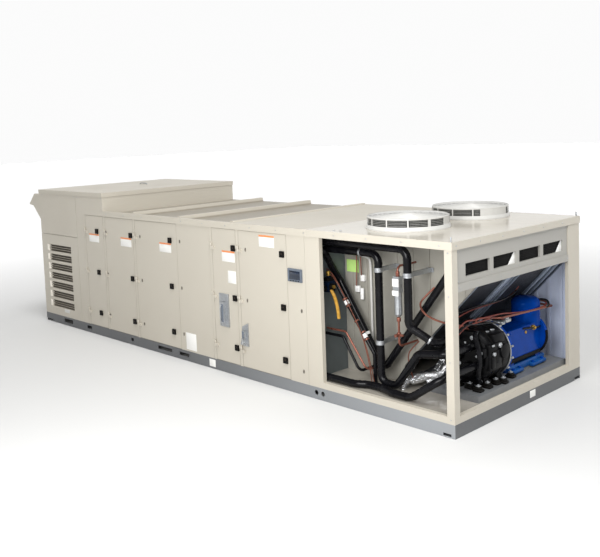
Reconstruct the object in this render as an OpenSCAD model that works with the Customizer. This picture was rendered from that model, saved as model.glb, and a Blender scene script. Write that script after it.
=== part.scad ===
// Large packaged rooftop air handling unit: hollow air section with hinged access doors,
// raised intake box with hood, and an open condensing section with a V coil and two roof fans.
// Lengths are mm. +Z is up, the front with the doors faces -Y, the compressor end faces +X.

/* [Cabinet] */
// Depth of the cabinet from front to rear
width = 2340; // [2000:10:2600]
// Top of the roof lip above the ground
height = 1790; // [1600:10:2100]
// Height of the base rail channel
base_height = 130; // [100:5:200]
// Thickness of the insulated walls and doors
wall = 50; // [40:2:60]
// Thickness of the insulated floor
floor_thick = 65; // [50:5:80]
// Height of the roof edge
lip_height = 74; // [60:2:100]
// How far the roof edge stands out from the walls
lip_out = 8; // [4:1:16]
// How far the roof panels lie below the top of the roof edge
roof_sink = 40; // [16:2:50]

/* [Air section] */
// Width of the louvred panel at the intake end
louvre_panel_width = 1090; // [1000:10:1200]
// Width of the plain panel beside the louvred panel
jamb_width = 245; // [160:5:300]
// Width taken by access door 1
door_1_width = 531; // [500:1:700]
// Width taken by access door 2
door_2_width = 743; // [600:1:900]
// Width taken by access door 3
door_3_width = 932; // [700:1:1000]
// Width of the plain fixed panel
plain_panel_width = 700; // [500:10:900]
// Width taken by access door 4
door_4_width = 484; // [460:1:600]
// Width taken by access door 5
door_5_width = 800; // [600:10:900]
// Width of the control panel with the display
control_width = 274; // [260:2:340]
// Width of the column between the two sections
column_width = 212; // [160:2:260]
// Clear gap around a door
door_gap = 8; // [6:1:10]
// Width of the post on the hinge side of a door
post_width = 44; // [40:2:60]

/* [Intake] */
// Length of the raised intake box
raised_length = 1830; // [1600:10:2000]
// Height of the raised intake box over the roof edge
raised_rise = 250; // [200:10:320]
// Height of the edge of the intake box lid
lid_height = 58; // [40:2:80]
// How far the intake hood reaches out from the end wall
hood_reach = 470; // [400:10:560]
// Thickness of the hood sheet
hood_sheet = 4; // [3:1:6]
// Number of louvre slots
louvre_count = 7; // [5:1:8]
// Height of one louvre slot
louvre_slot = 100; // [80:2:110]

/* [Condensing section] */
// Width of the opening in the front of the condensing section
opening_width = 1556; // [1450:2:1800]
// Width of the front corner post
corner_width = 83; // [70:1:100]
// Width of the rear corner post on the end face
rear_post_width = 240; // [160:5:260]
// Depth of the piping bay behind the front opening
bay_depth = 560; // [530:10:590]
// Vertical thickness of a coil slab
coil_thick = 130; // [100:5:160]
// Distance of the front fan from the front face
fan_inset = 700; // [690:5:740]
// Distance of the rear fan from the rear face
fan_rear_inset = 525; // [480:5:560]
// Outside diameter of a fan guard
guard_diameter = 870; // [800:10:880]
// Height of a fan guard over the roof
guard_height = 150; // [120:1:180]
// Diameter of an insulated suction pipe
pipe_diameter = 80; // [60:2:84]
// Distance of the jacketed end of the compressor from the front face
compressor_inset = 700; // [680:5:760]
// Length of the jacketed end of the compressor
jacket_length = 370; // [320:10:420]
// Diameter of the jacketed end of the compressor
jacket_diameter = 540; // [460:10:560]
// Length of the blue end of the compressor
blue_length = 820; // [740:10:900]

/* [Hidden] */
$fn = 48;

// Seams along the front, from the intake end
seam_1 = louvre_panel_width + jamb_width;
seam_2 = seam_1 + door_1_width;
seam_3 = seam_2 + door_2_width;
seam_4 = seam_3 + door_3_width;
seam_5 = seam_4 + plain_panel_width;
seam_6 = seam_5 + door_4_width;
seam_7 = seam_6 + door_5_width;
seam_8 = seam_7 + control_width;
seam_9 = seam_8 + column_width;
length = seam_9 + opening_width + corner_width;

// Levels
floor_top = base_height + floor_thick;
roof_bottom = height - lip_height;
panel_top = height - roof_sink;
box_top = height + raised_rise;
lid_bottom = box_top - lid_height;
latch_z = [base_height + 205, (base_height + height - 87) / 2, height - 292];

// Base rail
rail_web = 8;
rail_flange = 70;
rail_step = 35;
rail_step_front = 200;
rail_step_end = 120;
rail_hole_z = base_height * 0.55;
split = 0.5;

// Section split
bulk_thick = 40;
bulk_x = seam_8 + 12;
bulk_end = bulk_x + bulk_thick;
roof_split = bulk_x + bulk_thick / 2;
seam_gap = 6;
end_thick = 40;

// Roof panels and the caps over their seams
roof_edge = 40;
cap_start = 674;
cap_pitch = 1032;
cap_width = 72;
cap_proud = 12;
cap_x = [for (i = [0 : 2]) raised_length + cap_start + i * cap_pitch];

// Hinges and latches
hinge_radius = 9;
hinge_pin = 4.5;
hinge_y = -14;
hinge_knuckle = 34;
hinge_axial = 6;
latch_size = 64;
latch_proud = 16;

// Louvres
upper_seam_z = height - 424;
louvre_x = 204;
louvre_width = 676;
louvre_top = upper_seam_z - 156;
louvre_low = base_height + 125;
louvre_pitch = (louvre_top - louvre_slot - louvre_low) / (louvre_count - 1);
blade_rise = 9;
blade_thick = 4;
blade_set_back = 28;
screen_thick = 4;
screen_edge = 14;

// Intake hood, measured from its top face
hood_side = 60;
hood_top = lid_bottom - 22;
hood_flat = hood_reach - 178;
hood_back = hood_reach - 132;
hood_drop = 170;
hood_foot = 500;
mouth_edge = 140;
mouth_rim = 40;

// V coil
vertex_inset = 769;
coil_left = bulk_end;
coil_right = length - end_thick;
coil_mid = bulk_end + vertex_inset;
coil_gap = 20;
coil_low = base_height + 250;
coil_high = height - 390;
frame_depth = 30;
frame_edge = 14;
plate_thick = 30;
plate_y = bay_depth;
rib_width = 26;
rib_proud = 8;
rib_pitch = 205;
module_1_length = 680;
module_gap = 70;
coil_break = plate_y + plate_thick + module_1_length;
module_y = [plate_y + plate_thick, coil_break + module_gap];
module_end = [coil_break, width - wall];
inner_plate = 12;

// Underside of the right coil slab at a place along the unit
function arm_low(x) = coil_low + (x - coil_mid - coil_gap) * (coil_high - coil_low)
    / (coil_right - coil_mid - coil_gap);

// End face over the compressors
beam_low = height - 460;
beam_height = 70;
window_width = 400;
window_left = 141;
window_right = 99;
window_low = roof_bottom - 266;
window_height = 120;
window_span = width - rear_post_width - corner_width - window_left - window_right - window_width;

// Fans
fan_x = coil_mid;
fan_y = [fan_inset, width - fan_rear_inset];
orifice = guard_diameter - 60;
rotor_diameter = orifice - 40;
shaft = 28;
hub_diameter = 190;
rotor_low = roof_bottom + 14;
rotor_high = height - 8;
wire = 8;
guard_band = 42;
guard_rim = guard_height - 32;
guard_wall = 8;
guard_top_radius = guard_diameter / 2 - 18;
blank_start = [9, -41];
blank_turn = [20, 51];
motor_diameter = 150;
motor_length = 200;
motor_bar = 30;
motor_plate = 16;

// Compressor: a jacketed end, a flange, and a blue end with an upright head
comp_x = length - 350;
platform_height = 62;
platform_sheet = 6;
platform_front = bay_depth - 90;
platform_rear = 210;
platform_left = 310;
pad_height = 12;
pad_width = 70;
pad_offset = 130;
comp_base = floor_top + platform_height + pad_height;
comp_z = comp_base + 285;
jacket_y = compressor_inset;
jacket_radius = jacket_diameter / 2;
jacket_round = 70;
jacket_end = jacket_y + jacket_length;
cover_radius = 175;
cover_depth = 34;
flange_radius = jacket_radius + 8;
flange_thick = 34;
foot_length = 90;
foot_half = 165;
port_reach = 50;
port_grow = 14;
port_1 = [comp_x + 100, jacket_y - port_reach, comp_z + 120];
port_2 = [comp_x - 60, jacket_y - port_reach, comp_z + 190];
port_3 = [comp_x + 150, jacket_y - port_reach, comp_z - 60];
blue_y = jacket_end + flange_thick;
blue_end = blue_y + blue_length;
blue_radius = 142;
blue_rim = 216;
blue_rim_thick = 44;
block_half = 150;
block_top = comp_z + 150;
head_x = comp_x + 10;
head_y = blue_end - 120;
head_radius = 149;
head_dome = 95;
head_top = arm_low(head_x) - 115;
head_stub = 26;

// Pipes in the bay
pipe_y = bay_depth / 2 - 10;
pipe_2_y = pipe_y - 80;
pipe_1_run = 720;
pipe_2_run = 1150;
pipe_1_x = bulk_end + pipe_1_run;
pipe_2_x = bulk_end + pipe_2_run;
pipe_1_z = roof_bottom - 156;
pipe_2_z = roof_bottom - 66;
pipe_1_back = 200;
pipe_1_rise = 280;
pipe_1_low = floor_top + pipe_diameter / 2 + 15;
bend = 95;
tube_bend = 60;
vee_diameter = 74;
vee_y = bay_depth - 140;
vee_start = coil_high - 190;
vee_x = coil_mid - 135;
vee_z = floor_top + 135;
vee_end = coil_right - 274;
vee_end_z = coil_high + 40;
tube_run = 45;
small_diameter = 42;
small_y = bay_depth - 230;
small_start = vee_start + 20;
small_x = coil_mid - 180;
small_z = floor_top + 305;
thin_diameter = 30;
thin_drop = 45;
thin_x = coil_mid - 292;
thin_ahead = 35;
hose_diameter = 76;
hose_y = 95;
hose_bend = 180;
hose_z = floor_top + hose_diameter * 0.525 + 0.2;
copper = 22;
copper_z = floor_top + 510;
copper_y = bay_depth - 310;
copper_x = coil_mid - 225;
copper_run = 270;
line_foot = floor_top + 150;
loop_reach = 190;
loop_z = comp_z + 340;
loop_fall = 55;
foil = 80;
foil_x = coil_mid + 140;
foil_y = bay_depth - 185;
foil_low = floor_top + 70;
foil_z = comp_base + 110;
foil_side = 260;
drier_run = 963;
drier_drop = 300;
drier_x = bulk_end + drier_run;
drier_diameter = 76;
drier_top = roof_bottom - 356;
drier_block = 160;
drier_body = 240;
clamp_height = 44;
clamp_drop = 336;
clamp_rise = 445;
clamp_wall = 8;
valve_z = roof_bottom - 606;
valve_size = 110;
valve_ahead = 62;

module place() {
    translate([-(length - hood_reach) / 2, -width / 2, 0]) children();
}

module box(x0, x1, y0, y1, z0, z1) {
    translate([x0, y0, z0]) cube([x1 - x0, y1 - y0, z1 - z0]);
}

// Profile in X and Z drawn out along Y
module along_y(y0, y1) {
    translate([0, y1, 0]) rotate([90, 0, 0]) linear_extrude(y1 - y0) children();
}

// Points of an arc, for a turned outline
function arc(cx, cz, r, a0, a1, n) = [for (i = [0 : n])
    [cx + r * cos(a0 + (a1 - a0) * i / n), cz + r * sin(a0 + (a1 - a0) * i / n)]];

function unit(v) = v / norm(v);

module rod(p, q, d) {
    v = q - p;
    h = norm(v);
    translate(p) rotate([0, acos(v[2] / h), atan2(v[1], v[0])]) cylinder(h = h, d = d);
}

function corner_angle(a, b, c) = acos(unit(a - b) * unit(c - b));
function corner_cut(a, b, c, r) = r / tan(corner_angle(a, b, c) / 2);

module elbow(a, b, c, d, r) {
    u = unit(a - b);
    w = unit(c - b);
    phi = corner_angle(a, b, c);
    start = b + u * r / tan(phi / 2);
    mid = b + unit(u + w) * r / sin(phi / 2);
    ex = unit(start - mid);
    ey = -u;
    ez = cross(ex, ey);
    multmatrix([[ex[0], ey[0], ez[0], mid[0]], [ex[1], ey[1], ez[1], mid[1]],
        [ex[2], ey[2], ez[2], mid[2]], [0, 0, 0, 1]])
        rotate_extrude(angle = 180 - phi) translate([r, 0]) circle(d = d);
}

// Coupling ring where a straight length meets a bend
module coupling(p, dir, d) {
    rod(p - dir * 8, p + dir * 8, d * 1.05);
}

// Round pipe through the points, with bends of radius r
module pipe(pts, d, r) {
    n = len(pts);
    union() {
        for (i = [0 : n - 2]) {
            u = unit(pts[i + 1] - pts[i]);
            a = i == 0 ? 0 : corner_cut(pts[i - 1], pts[i], pts[i + 1], r);
            b = i == n - 2 ? 0 : corner_cut(pts[i], pts[i + 1], pts[i + 2], r);
            rod(pts[i] + u * a, pts[i + 1] - u * b, d);
            if (a > 0) coupling(pts[i] + u * a, u, d);
            if (b > 0) coupling(pts[i + 1] - u * b, u, d);
        }
        for (i = [1 : n - 2]) elbow(pts[i - 1], pts[i], pts[i + 1], d, r);
    }
}

module channel_x(x0, x1, y_web, y_in) {
    inner = y_web + sign(y_in - y_web) * rail_web;
    end = rail_web + split;
    box(x0, x1, min(y_web, inner), max(y_web, inner), 0, base_height);
    box(x0 + end, x1 - end, min(y_web, y_in), max(y_web, y_in), 0, rail_web);
    box(x0 + end, x1 - end, min(y_web, y_in), max(y_web, y_in), base_height - rail_web, base_height);
}

module rail_slot(x, w, h, z) {
    translate([x - w / 2, -1, z - h / 2]) cube([w, rail_web + 2, h]);
}

module base_rail_front() {
    color("SlateGray") place() difference() {
        channel_x(0, length, 0, rail_flange);
        box(-1, rail_step_front, -1, rail_flange + 1, -1, rail_step);
        rail_slot(680, 260, 58, rail_hole_z);
        rail_slot(seam_1 - 46, 126, 48, rail_hole_z);
        rail_slot(seam_3 - 197, 60, 43, rail_hole_z);
        rail_slot(seam_4 - 371, 312, 45, rail_hole_z);
        rail_slot(seam_4 + 44, 205, 43, rail_hole_z);
        for (x = [seam_9 - 107, seam_9 - 14])
            translate([x, -1, rail_hole_z]) rotate([-90, 0, 0]) cylinder(h = rail_web + 2, d = 52);
        rail_slot(length - corner_width - 4, 90, 26, rail_web + 16);
    }
}

module end_rail(x0, x1) {
    difference() {
        box(x0, x1, rail_web, width - rail_web - split, 0, base_height);
        box(x0 - 1, x1 + 1, width - rail_step_end, width, -1, rail_step);
    }
}

module base_rails_back() {
    color("SlateGray") place() {
        channel_x(0, length, width, width - rail_flange);
        end_rail(0, rail_web);
        end_rail(length - rail_web, length);
    }
}

module base_crossmembers() {
    color("DimGray") place()
        for (i = [1 : 6])
            box(length * i / 7 - 30, length * i / 7 + 30, rail_flange, width - rail_flange, 20, base_height);
}

module air_floor() {
    color("LightGray") place() box(wall, bulk_end, wall + door_gap, width - wall, base_height, floor_top);
}

module condenser_pan() {
    color("DarkGray") place() box(bulk_end, length - wall, wall, width - wall, base_height, floor_top);
}

module hood_end_wall() {
    color("Wheat") place() difference() {
        box(0, wall, wall, width - wall, base_height, lid_bottom);
        box(-1, wall + 1, hood_side + mouth_edge, width - hood_side - mouth_edge,
            hood_top - hood_foot + mouth_rim, hood_top - mouth_rim);
    }
}

module louvre_panel() {
    color("Wheat") place() {
        difference() {
            box(0, louvre_panel_width - seam_gap / 2, 0, wall, base_height, upper_seam_z - seam_gap / 2);
            for (i = [0 : louvre_count - 1])
                translate([louvre_x, -1, louvre_low + i * louvre_pitch])
                    cube([louvre_width, wall + 2, louvre_slot]);
        }
        for (i = [0 : louvre_count - 1]) for (k = [0 : 2])
            louvre_blade(louvre_low + i * louvre_pitch + louvre_slot * (k + 0.5) / 3);
    }
}

// Sloping blade across a slot, let into both ends of it
module louvre_blade(z) {
    translate([louvre_x + louvre_width + 2, 0, z]) rotate([0, -90, 0]) linear_extrude(louvre_width + 4)
        polygon([[-blade_rise, blade_set_back], [-blade_rise + blade_thick, blade_set_back],
            [blade_rise, wall - 4], [blade_rise - blade_thick, wall - 4]]);
}

module screens() {
    color("DimGray") place() {
        box(louvre_x - screen_edge, louvre_x + louvre_width + screen_edge, wall, wall + screen_thick,
            louvre_low - screen_edge, louvre_top + screen_edge);
        along_y(hood_side + hood_sheet, width - hood_side - hood_sheet)
            polygon([[-hood_back + screen_edge, hood_top - hood_drop - 16], [0, hood_top - hood_foot + 16],
                [0, hood_top - hood_foot + 20], [-hood_back + screen_edge, hood_top - hood_drop - 12]]);
    }
}

module front_panels() {
    edge = seam_gap / 2;
    color("Wheat") place() {
        box(0, louvre_panel_width - edge, 0, wall, upper_seam_z + edge, lid_bottom);
        along_y(0, wall) polygon([[louvre_panel_width + edge, base_height],
            [seam_1 - post_width - edge, base_height], [seam_1 - post_width - edge, roof_bottom],
            [raised_length, roof_bottom], [raised_length, lid_bottom],
            [louvre_panel_width + edge, lid_bottom]]);
        box(seam_4, seam_5 - post_width - edge, 0, wall, base_height, roof_bottom);
        box(seam_7, seam_8 - edge, 0, wall, base_height, roof_bottom);
    }
}

// Upper knuckle on the post, with the pin that hangs down from it
module hinge_fixed(x, z) {
    low = z + hinge_axial / 2;
    translate([x + 1, hinge_y, low]) cylinder(h = hinge_knuckle, r = hinge_radius);
    translate([x + 1, hinge_y, z - hinge_knuckle]) cylinder(h = 2 * hinge_knuckle, r = hinge_pin);
    box(x - 36, x + 1, hinge_y - 4, hinge_y + 5, low, low + hinge_knuckle);
    box(x - 36, x, hinge_y + 5, 0, low, low + hinge_knuckle);
}

// Lower knuckle on the door, bored for the pin
module hinge_moving(x, z) {
    low = z - hinge_axial / 2 - hinge_knuckle;
    difference() {
        union() {
            translate([x + 1, hinge_y, low]) cylinder(h = hinge_knuckle, r = hinge_radius);
            box(x + 1, x + 48, hinge_y - 4, hinge_y + 5, low, low + hinge_knuckle);
            box(x + door_gap, x + 48, hinge_y + 5, 0, low, low + hinge_knuckle);
        }
        translate([x + 1, hinge_y, low - 1]) cylinder(h = hinge_knuckle + 2, r = hinge_pin + 0.05);
    }
}

module hinge_post(x) {
    box(x - post_width, x, 0, wall, base_height, roof_bottom);
    for (z = latch_z) hinge_fixed(x, z);
}

module door_posts() {
    color("Wheat") place()
        for (x = [seam_1, seam_2, seam_3, seam_5, seam_6]) hinge_post(x);
}

// Square latch with a bevelled face
module latch(x, z) {
    half = latch_size / 2;
    bevel = 5;
    translate([x - half, 0, z]) rotate([90, 0, 90]) linear_extrude(latch_size)
        polygon([[0, -half], [-latch_proud + bevel, -half], [-latch_proud, -half + bevel],
            [-latch_proud, half - bevel], [-latch_proud + bevel, half], [0, half]]);
}

module door(x0, x1, latch_inset) {
    color("Wheat") place() {
        box(x0 + door_gap, x1 - door_gap, 0, wall, base_height + door_gap, roof_bottom - door_gap);
        for (z = latch_z) hinge_moving(x0, z);
        for (z = latch_z) latch(x1 - door_gap - latch_inset, z);
    }
}

module door_1() {
    door(seam_1, seam_2 - post_width, 158);
}

module door_2() {
    door(seam_2, seam_3 - post_width, 44);
}

module door_3() {
    door(seam_3, seam_4, 130);
}

module door_4() {
    door(seam_5, seam_6 - post_width, 34);
}

module door_5() {
    door(seam_6, seam_7, 62);
}

module disconnect_plate() {
    color("Silver") place() {
        box(seam_5 + 109, seam_5 + 279, -12, 0, latch_z[0] + 222, latch_z[0] + 613);
        box(seam_5 + 165, seam_5 + 223, -44, -12, latch_z[0] + 262, latch_z[0] + 520);
    }
}

module disconnect_lever() {
    color("Silver") place() {
        along_y(-12, 0) polygon([[seam_6 + 20, latch_z[0] + 48], [seam_6 + 124, latch_z[0] + 48],
            [seam_6 + 124, latch_z[0] + 318], [seam_6 + 20, latch_z[0] + 268]]);
        box(seam_6 + 50, seam_6 + 92, -46, -12, latch_z[0] + 90, latch_z[0] + 230);
    }
}

module display() {
    color("Gray") place() difference() {
        box(seam_7 + 22, seam_7 + 230, -18, 0, height - 569, height - 430);
        box(seam_7 + 44, seam_7 + 208, -19, -12, height - 547, height - 452);
    }
}

module posts() {
    color("Wheat") place() {
        box(seam_8, seam_9, 0, wall, base_height, roof_bottom);
        difference() {
            box(length - corner_width, length, 0, corner_width, base_height, roof_bottom);
            box(length - corner_width - 1, length - 5, 5, corner_width + 1, base_height - 1, roof_bottom + 1);
        }
        box(length - end_thick, length, width - rear_post_width, width, base_height, roof_bottom);
    }
}

module rear_walls() {
    end = bulk_end - seam_gap / 2;
    color("Wheat") place() {
        along_y(width - wall, width) polygon([[0, base_height], [end, base_height], [end, roof_bottom],
            [raised_length, roof_bottom], [raised_length, lid_bottom], [0, lid_bottom]]);
        box(bulk_end + seam_gap / 2, length - end_thick, width - wall, width, base_height, roof_bottom);
    }
}

module air_roof() {
    color("Wheat") place() {
        difference() {
            box(raised_length, roof_split, -lip_out, width + lip_out, roof_bottom, height);
            box(raised_length - 1, cap_x[2], roof_edge, width + lip_out + 1, panel_top, height + 1);
        }
        for (x = cap_x) seam_cap(x);
    }
}

// Cap with sloping sides over the seam between two roof panels
module seam_cap(x) {
    top = height + cap_proud;
    along_y(roof_edge + 6, width + lip_out)
        polygon([[x - cap_width / 2, panel_top], [x + cap_width / 2, panel_top],
            [x + cap_width / 2 - 8, top], [x - cap_width / 2 + 8, top]]);
}

module raised_box_end() {
    color("Wheat") place()
        box(raised_length - wall, raised_length, wall, width - wall, roof_bottom, lid_bottom);
}

module raised_box_lid() {
    color("Wheat") place()
        box(-lip_out, raised_length + lip_out, -lip_out, width + lip_out, lid_bottom, box_top);
}

module intake_hood() {
    color("Wheat") place() difference() {
        along_y(hood_side, width - hood_side)
            polygon([[0, hood_top], [-hood_flat, hood_top], [-hood_reach, hood_top - hood_drop],
                [-hood_back, hood_top - hood_drop - 15], [0, hood_top - hood_foot]]);
        along_y(hood_side + hood_sheet, width - hood_side - hood_sheet)
            polygon([[1, hood_top - hood_sheet], [-hood_flat + 2, hood_top - hood_sheet],
                [-hood_reach + 13, hood_top - hood_drop + 3], [-hood_back, hood_top - hood_drop - 10],
                [-hood_back + 2, hood_top - hood_drop - 60], [1, hood_top - hood_foot - 60]]);
    }
}

module bulkhead() {
    color("SlateGray") place() box(bulk_x, bulk_end, wall, width - wall, floor_top, roof_bottom);
}

module sill_rails() {
    color("Wheat") place() {
        box(seam_9, length - corner_width, 0, wall, base_height, floor_top);
        box(length - wall, length, corner_width, width - rear_post_width, base_height, floor_top);
    }
}

module end_header() {
    color("Wheat") place() difference() {
        box(length - end_thick, length, corner_width, width - rear_post_width, beam_low, roof_bottom);
        box(length - 12, length + 1, corner_width - 1, width - rear_post_width + 1,
            beam_low + beam_height, roof_bottom - 12);
        for (i = [0 : 3])
            translate([length - end_thick - 1, corner_width + window_left + i * window_span / 3, window_low])
                cube([end_thick + 2, window_width, window_height]);
    }
}

module arm(side, grow) {
    wall_x = side > 0 ? coil_right : coil_left;
    polygon([[coil_mid + side * coil_gap, coil_low - grow], [wall_x, coil_high - grow],
        [wall_x, coil_high + coil_thick + grow], [coil_mid + side * coil_gap, coil_low + coil_thick + grow]]);
}

module coil_end_plate() {
    color("Linen") place() {
        along_y(plate_y, plate_y + plate_thick) bay_wall();
        intersection() {
            along_y(plate_y - rib_proud, plate_y + 1) bay_wall();
            for (i = [0 : floor((coil_right - coil_left) / rib_pitch) - 1])
                box(coil_left + 90 + i * rib_pitch, coil_left + 90 + i * rib_pitch + rib_width,
                    plate_y - rib_proud, plate_y + 1, floor_top, roof_bottom);
        }
        along_y(coil_break, coil_break + inner_plate)
            polygon([[coil_mid - coil_gap, coil_low], [coil_mid + coil_gap, coil_low],
                [coil_right, coil_high], [coil_right, roof_bottom], [coil_left, roof_bottom],
                [coil_left, coil_high]]);
    }
}

// Wall behind the piping bay: down to the floor on the left, along the slab on the right
module bay_wall() {
    polygon([[coil_left, floor_top], [coil_mid + coil_gap, floor_top],
        [coil_mid + coil_gap, coil_low - frame_edge], [coil_right, coil_high - frame_edge],
        [coil_right, roof_bottom], [coil_left, roof_bottom]]);
}

module condenser_roof() {
    color("Wheat") place() difference() {
        box(roof_split, length + lip_out, -lip_out, width + lip_out, roof_bottom, height);
        for (y = fan_y)
            translate([fan_x, y, roof_bottom - 1]) cylinder(h = lip_height + 2, d = orifice);
    }
}

// Height of the wire dome of a guard at radius r
function dome(r) = guard_height - wire - (guard_height - wire - guard_rim) * pow(r / guard_top_radius, 2);

module fan_guard(f) {
    outer = guard_diameter / 2;
    radii = [for (k = [0 : 8]) guard_top_radius * k / 8];
    translate([fan_x, fan_y[f], height]) {
        rotate([0, 0, blank_start[f]]) rotate_extrude(angle = blank_turn[f])
            polygon([[outer - 20, guard_band - 3], [outer - 16, guard_band - 3],
                [outer - 16, guard_rim - 4], [outer - 20, guard_rim - 4]]);
        rotate_extrude() polygon([[orifice / 2, 0], [outer, 0], [outer, 10], [outer - 14, guard_band],
            [outer - 14 - guard_wall, guard_band], [outer - 14 - guard_wall, 12], [orifice / 2, 12]]);
        rotate_extrude() polygon([[outer - 14 - guard_wall, guard_rim - 6], [outer - 14, guard_rim - 6],
            [outer - 14, guard_rim + 6], [outer - 14 - guard_wall, guard_rim + 10]]);
        for (i = [0 : 11]) rotate([0, 0, i * 30 + 8])
            translate([outer - 21, -15, guard_band - 2]) cube([6, 30, guard_rim - guard_band]);
        for (k = [2 : 7]) translate([0, 0, dome(radii[k]) - 3]) difference() {
            cylinder(h = wire, r = radii[k] + wire / 2);
            translate([0, 0, -1]) cylinder(h = wire + 2, r = radii[k] - wire / 2);
        }
        translate([0, 0, dome(0) - 6]) cylinder(h = wire + 4, r = 70);
        for (i = [0 : 7]) rotate([90, 0, i * 45]) translate([0, 0, -wire / 2]) linear_extrude(wire)
            polygon(concat([for (k = [1 : 8]) [radii[k], dome(radii[k]) + 3]],
                [for (k = [0 : 7]) [radii[8 - k], dome(radii[8 - k]) - 5]]));
    }
}

module fan_guards() {
    color("White") place() for (f = [0, 1]) fan_guard(f);
}

module fan_rotor(y) {
    blade_z = (rotor_low + rotor_high) / 2;
    color("Gray") place() translate([fan_x, y, 0]) difference() {
        union() {
            translate([0, 0, rotor_low]) cylinder(h = rotor_high - rotor_low, d = hub_diameter);
            for (i = [0 : 4]) rotate([0, 0, i * 72]) translate([hub_diameter / 2 - 10, 0, blade_z])
                rotate([18, 0, 0]) translate([0, 0, -3]) linear_extrude(6) polygon([[0, -40], [0, 44],
                    [rotor_diameter / 2 - hub_diameter / 2 - 8, 66],
                    [rotor_diameter / 2 - hub_diameter / 2 + 2, 10],
                    [rotor_diameter / 2 - hub_diameter / 2 - 12, -58]]);
        }
        translate([0, 0, rotor_low - 1]) cylinder(h = rotor_high, d = shaft + 0.1);
    }
}

module fan_rotor_front() {
    fan_rotor(fan_y[0]);
}

module fan_rotor_rear() {
    fan_rotor(fan_y[1]);
}

module fan_motors() {
    bar_end = orifice / 2 + 40;
    plate_low = roof_bottom - motor_bar - motor_plate;
    color("DimGray") place() for (y = fan_y) {
        translate([fan_x, y, plate_low - motor_length]) cylinder(h = motor_length, d = motor_diameter);
        translate([fan_x, y, plate_low - 1]) cylinder(h = rotor_high + 10 - plate_low, d = shaft);
        for (k = [-1, 1])
            translate([fan_x - bar_end, y + k * 50 - motor_bar / 2, roof_bottom - motor_bar])
                cube([2 * bar_end, motor_bar, motor_bar]);
        translate([fan_x, y, plate_low]) cylinder(h = motor_plate, d = motor_diameter + 14);
    }
}

module coils() {
    color("DarkSlateGray") place() for (m = [0, 1]) for (side = [-1, 1])
        along_y(module_y[m] + frame_depth, module_end[m] - frame_depth) arm(side, 0);
}

module coil_frames() {
    color("LightSteelBlue") place() for (m = [0, 1]) for (y = [module_y[m], module_end[m] - frame_depth]) {
        for (side = [-1, 1]) along_y(y, y + frame_depth) arm(side, frame_edge);
        box(coil_mid - coil_gap + split, coil_mid + coil_gap - split, y, y + frame_depth,
            floor_top, coil_low + 60);
    }
}

module compressor_jacketed() {
    face = jacket_radius - jacket_round;
    color("Black") place() {
        translate([comp_x, jacket_y, comp_z]) rotate([-90, 0, 0])
            rotate_extrude() polygon(concat([[0, -cover_depth], [cover_radius - 14, -cover_depth],
                [cover_radius, -cover_depth + 14], [cover_radius, 0]],
                arc(face, jacket_round, jacket_round, -90, 0, 5),
                [[jacket_radius, jacket_length], [0, jacket_length]]));
        for (y = [jacket_y + 50, jacket_end - foot_length]) box(comp_x - foot_half, comp_x + foot_half,
            y, y + foot_length, comp_base, comp_base + 90);
        for (p = [port_1, port_2, port_3]) translate(p) rotate([-90, 0, 0])
            cylinder(h = port_reach + jacket_round + 40, d = pipe_diameter + port_grow);
        translate([comp_x - jacket_radius - port_reach, jacket_y + foil_side, foil_z]) rotate([0, 90, 0])
            cylinder(h = jacket_radius, d = foil + port_grow);
    }
}

module compressor_blue() {
    barrel = blue_length - blue_rim_thick - 30;
    foot_end = blue_end - blue_rim_thick - 34;
    color("RoyalBlue") place() {
        translate([comp_x, jacket_end, comp_z]) rotate([-90, 0, 0])
            rotate_extrude() polygon([[0, 0], [flange_radius, 0], [flange_radius, flange_thick],
                [blue_radius, flange_thick + 12], [blue_radius, flange_thick + barrel],
                [blue_rim, flange_thick + barrel + 6], [blue_rim, flange_thick + barrel + blue_rim_thick],
                [blue_rim - 70, flange_thick + blue_length], [0, flange_thick + blue_length]]);
        box(comp_x - block_half, comp_x + block_half, blue_y + 120, blue_end - blue_rim_thick - 30,
            comp_z - block_half, block_top);
        for (y = [blue_y + 130, foot_end - foot_length]) box(comp_x - foot_half,
            comp_x + foot_half - 15, y, y + foot_length, comp_base, comp_z - block_half + 1);
        translate([head_x, head_y, 0]) upright_head();
    }
}

// Upright cylinder head on the blue end, with a groove round its foot
module upright_head() {
    neck = head_top - head_dome;
    rotate_extrude() polygon(concat([[0, comp_z], [head_radius - 8, comp_z], [head_radius - 8, block_top + 8],
        [head_radius, block_top + 16]],
        [for (i = [0 : 6]) [head_radius * cos(i * 13), neck + head_dome * sin(i * 13)]],
        [[head_stub, head_top], [0, head_top]]));
}

module compressor_rails() {
    left = comp_x - platform_left;
    right = length - wall - 10;
    rear = width - platform_rear;
    top = floor_top + platform_height;
    color("Silver") place() {
        difference() {
            box(left, right, platform_front, rear, floor_top, top);
            box(left + platform_sheet, right - platform_sheet, platform_front + platform_sheet,
                rear - platform_sheet, floor_top - 1, top - platform_sheet);
        }
        for (x = [comp_x - pad_offset, comp_x + pad_offset])
            box(x - pad_width / 2, x + pad_width / 2, jacket_y - 30, blue_end, top, comp_base);
    }
}

module suction_pipes() {
    low_x = pipe_1_x + pipe_1_back;
    color("Black") place() {
        pipe([[bulk_end, pipe_y, pipe_1_z], [pipe_1_x, pipe_y, pipe_1_z], [pipe_1_x, pipe_y, pipe_1_low],
            [low_x, pipe_y, pipe_1_low], [low_x + pipe_1_rise, pipe_y, port_1[2] - 50],
            [port_1[0], pipe_y, port_1[2]], port_1], pipe_diameter, bend);
        pipe([[bulk_end, pipe_2_y, pipe_2_z], [pipe_2_x, pipe_2_y, pipe_2_z],
            [pipe_2_x, pipe_2_y, port_2[2] + 160], [port_2[0], pipe_y + 30, port_2[2]],
            port_2], pipe_diameter, bend);
    }
}

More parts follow.
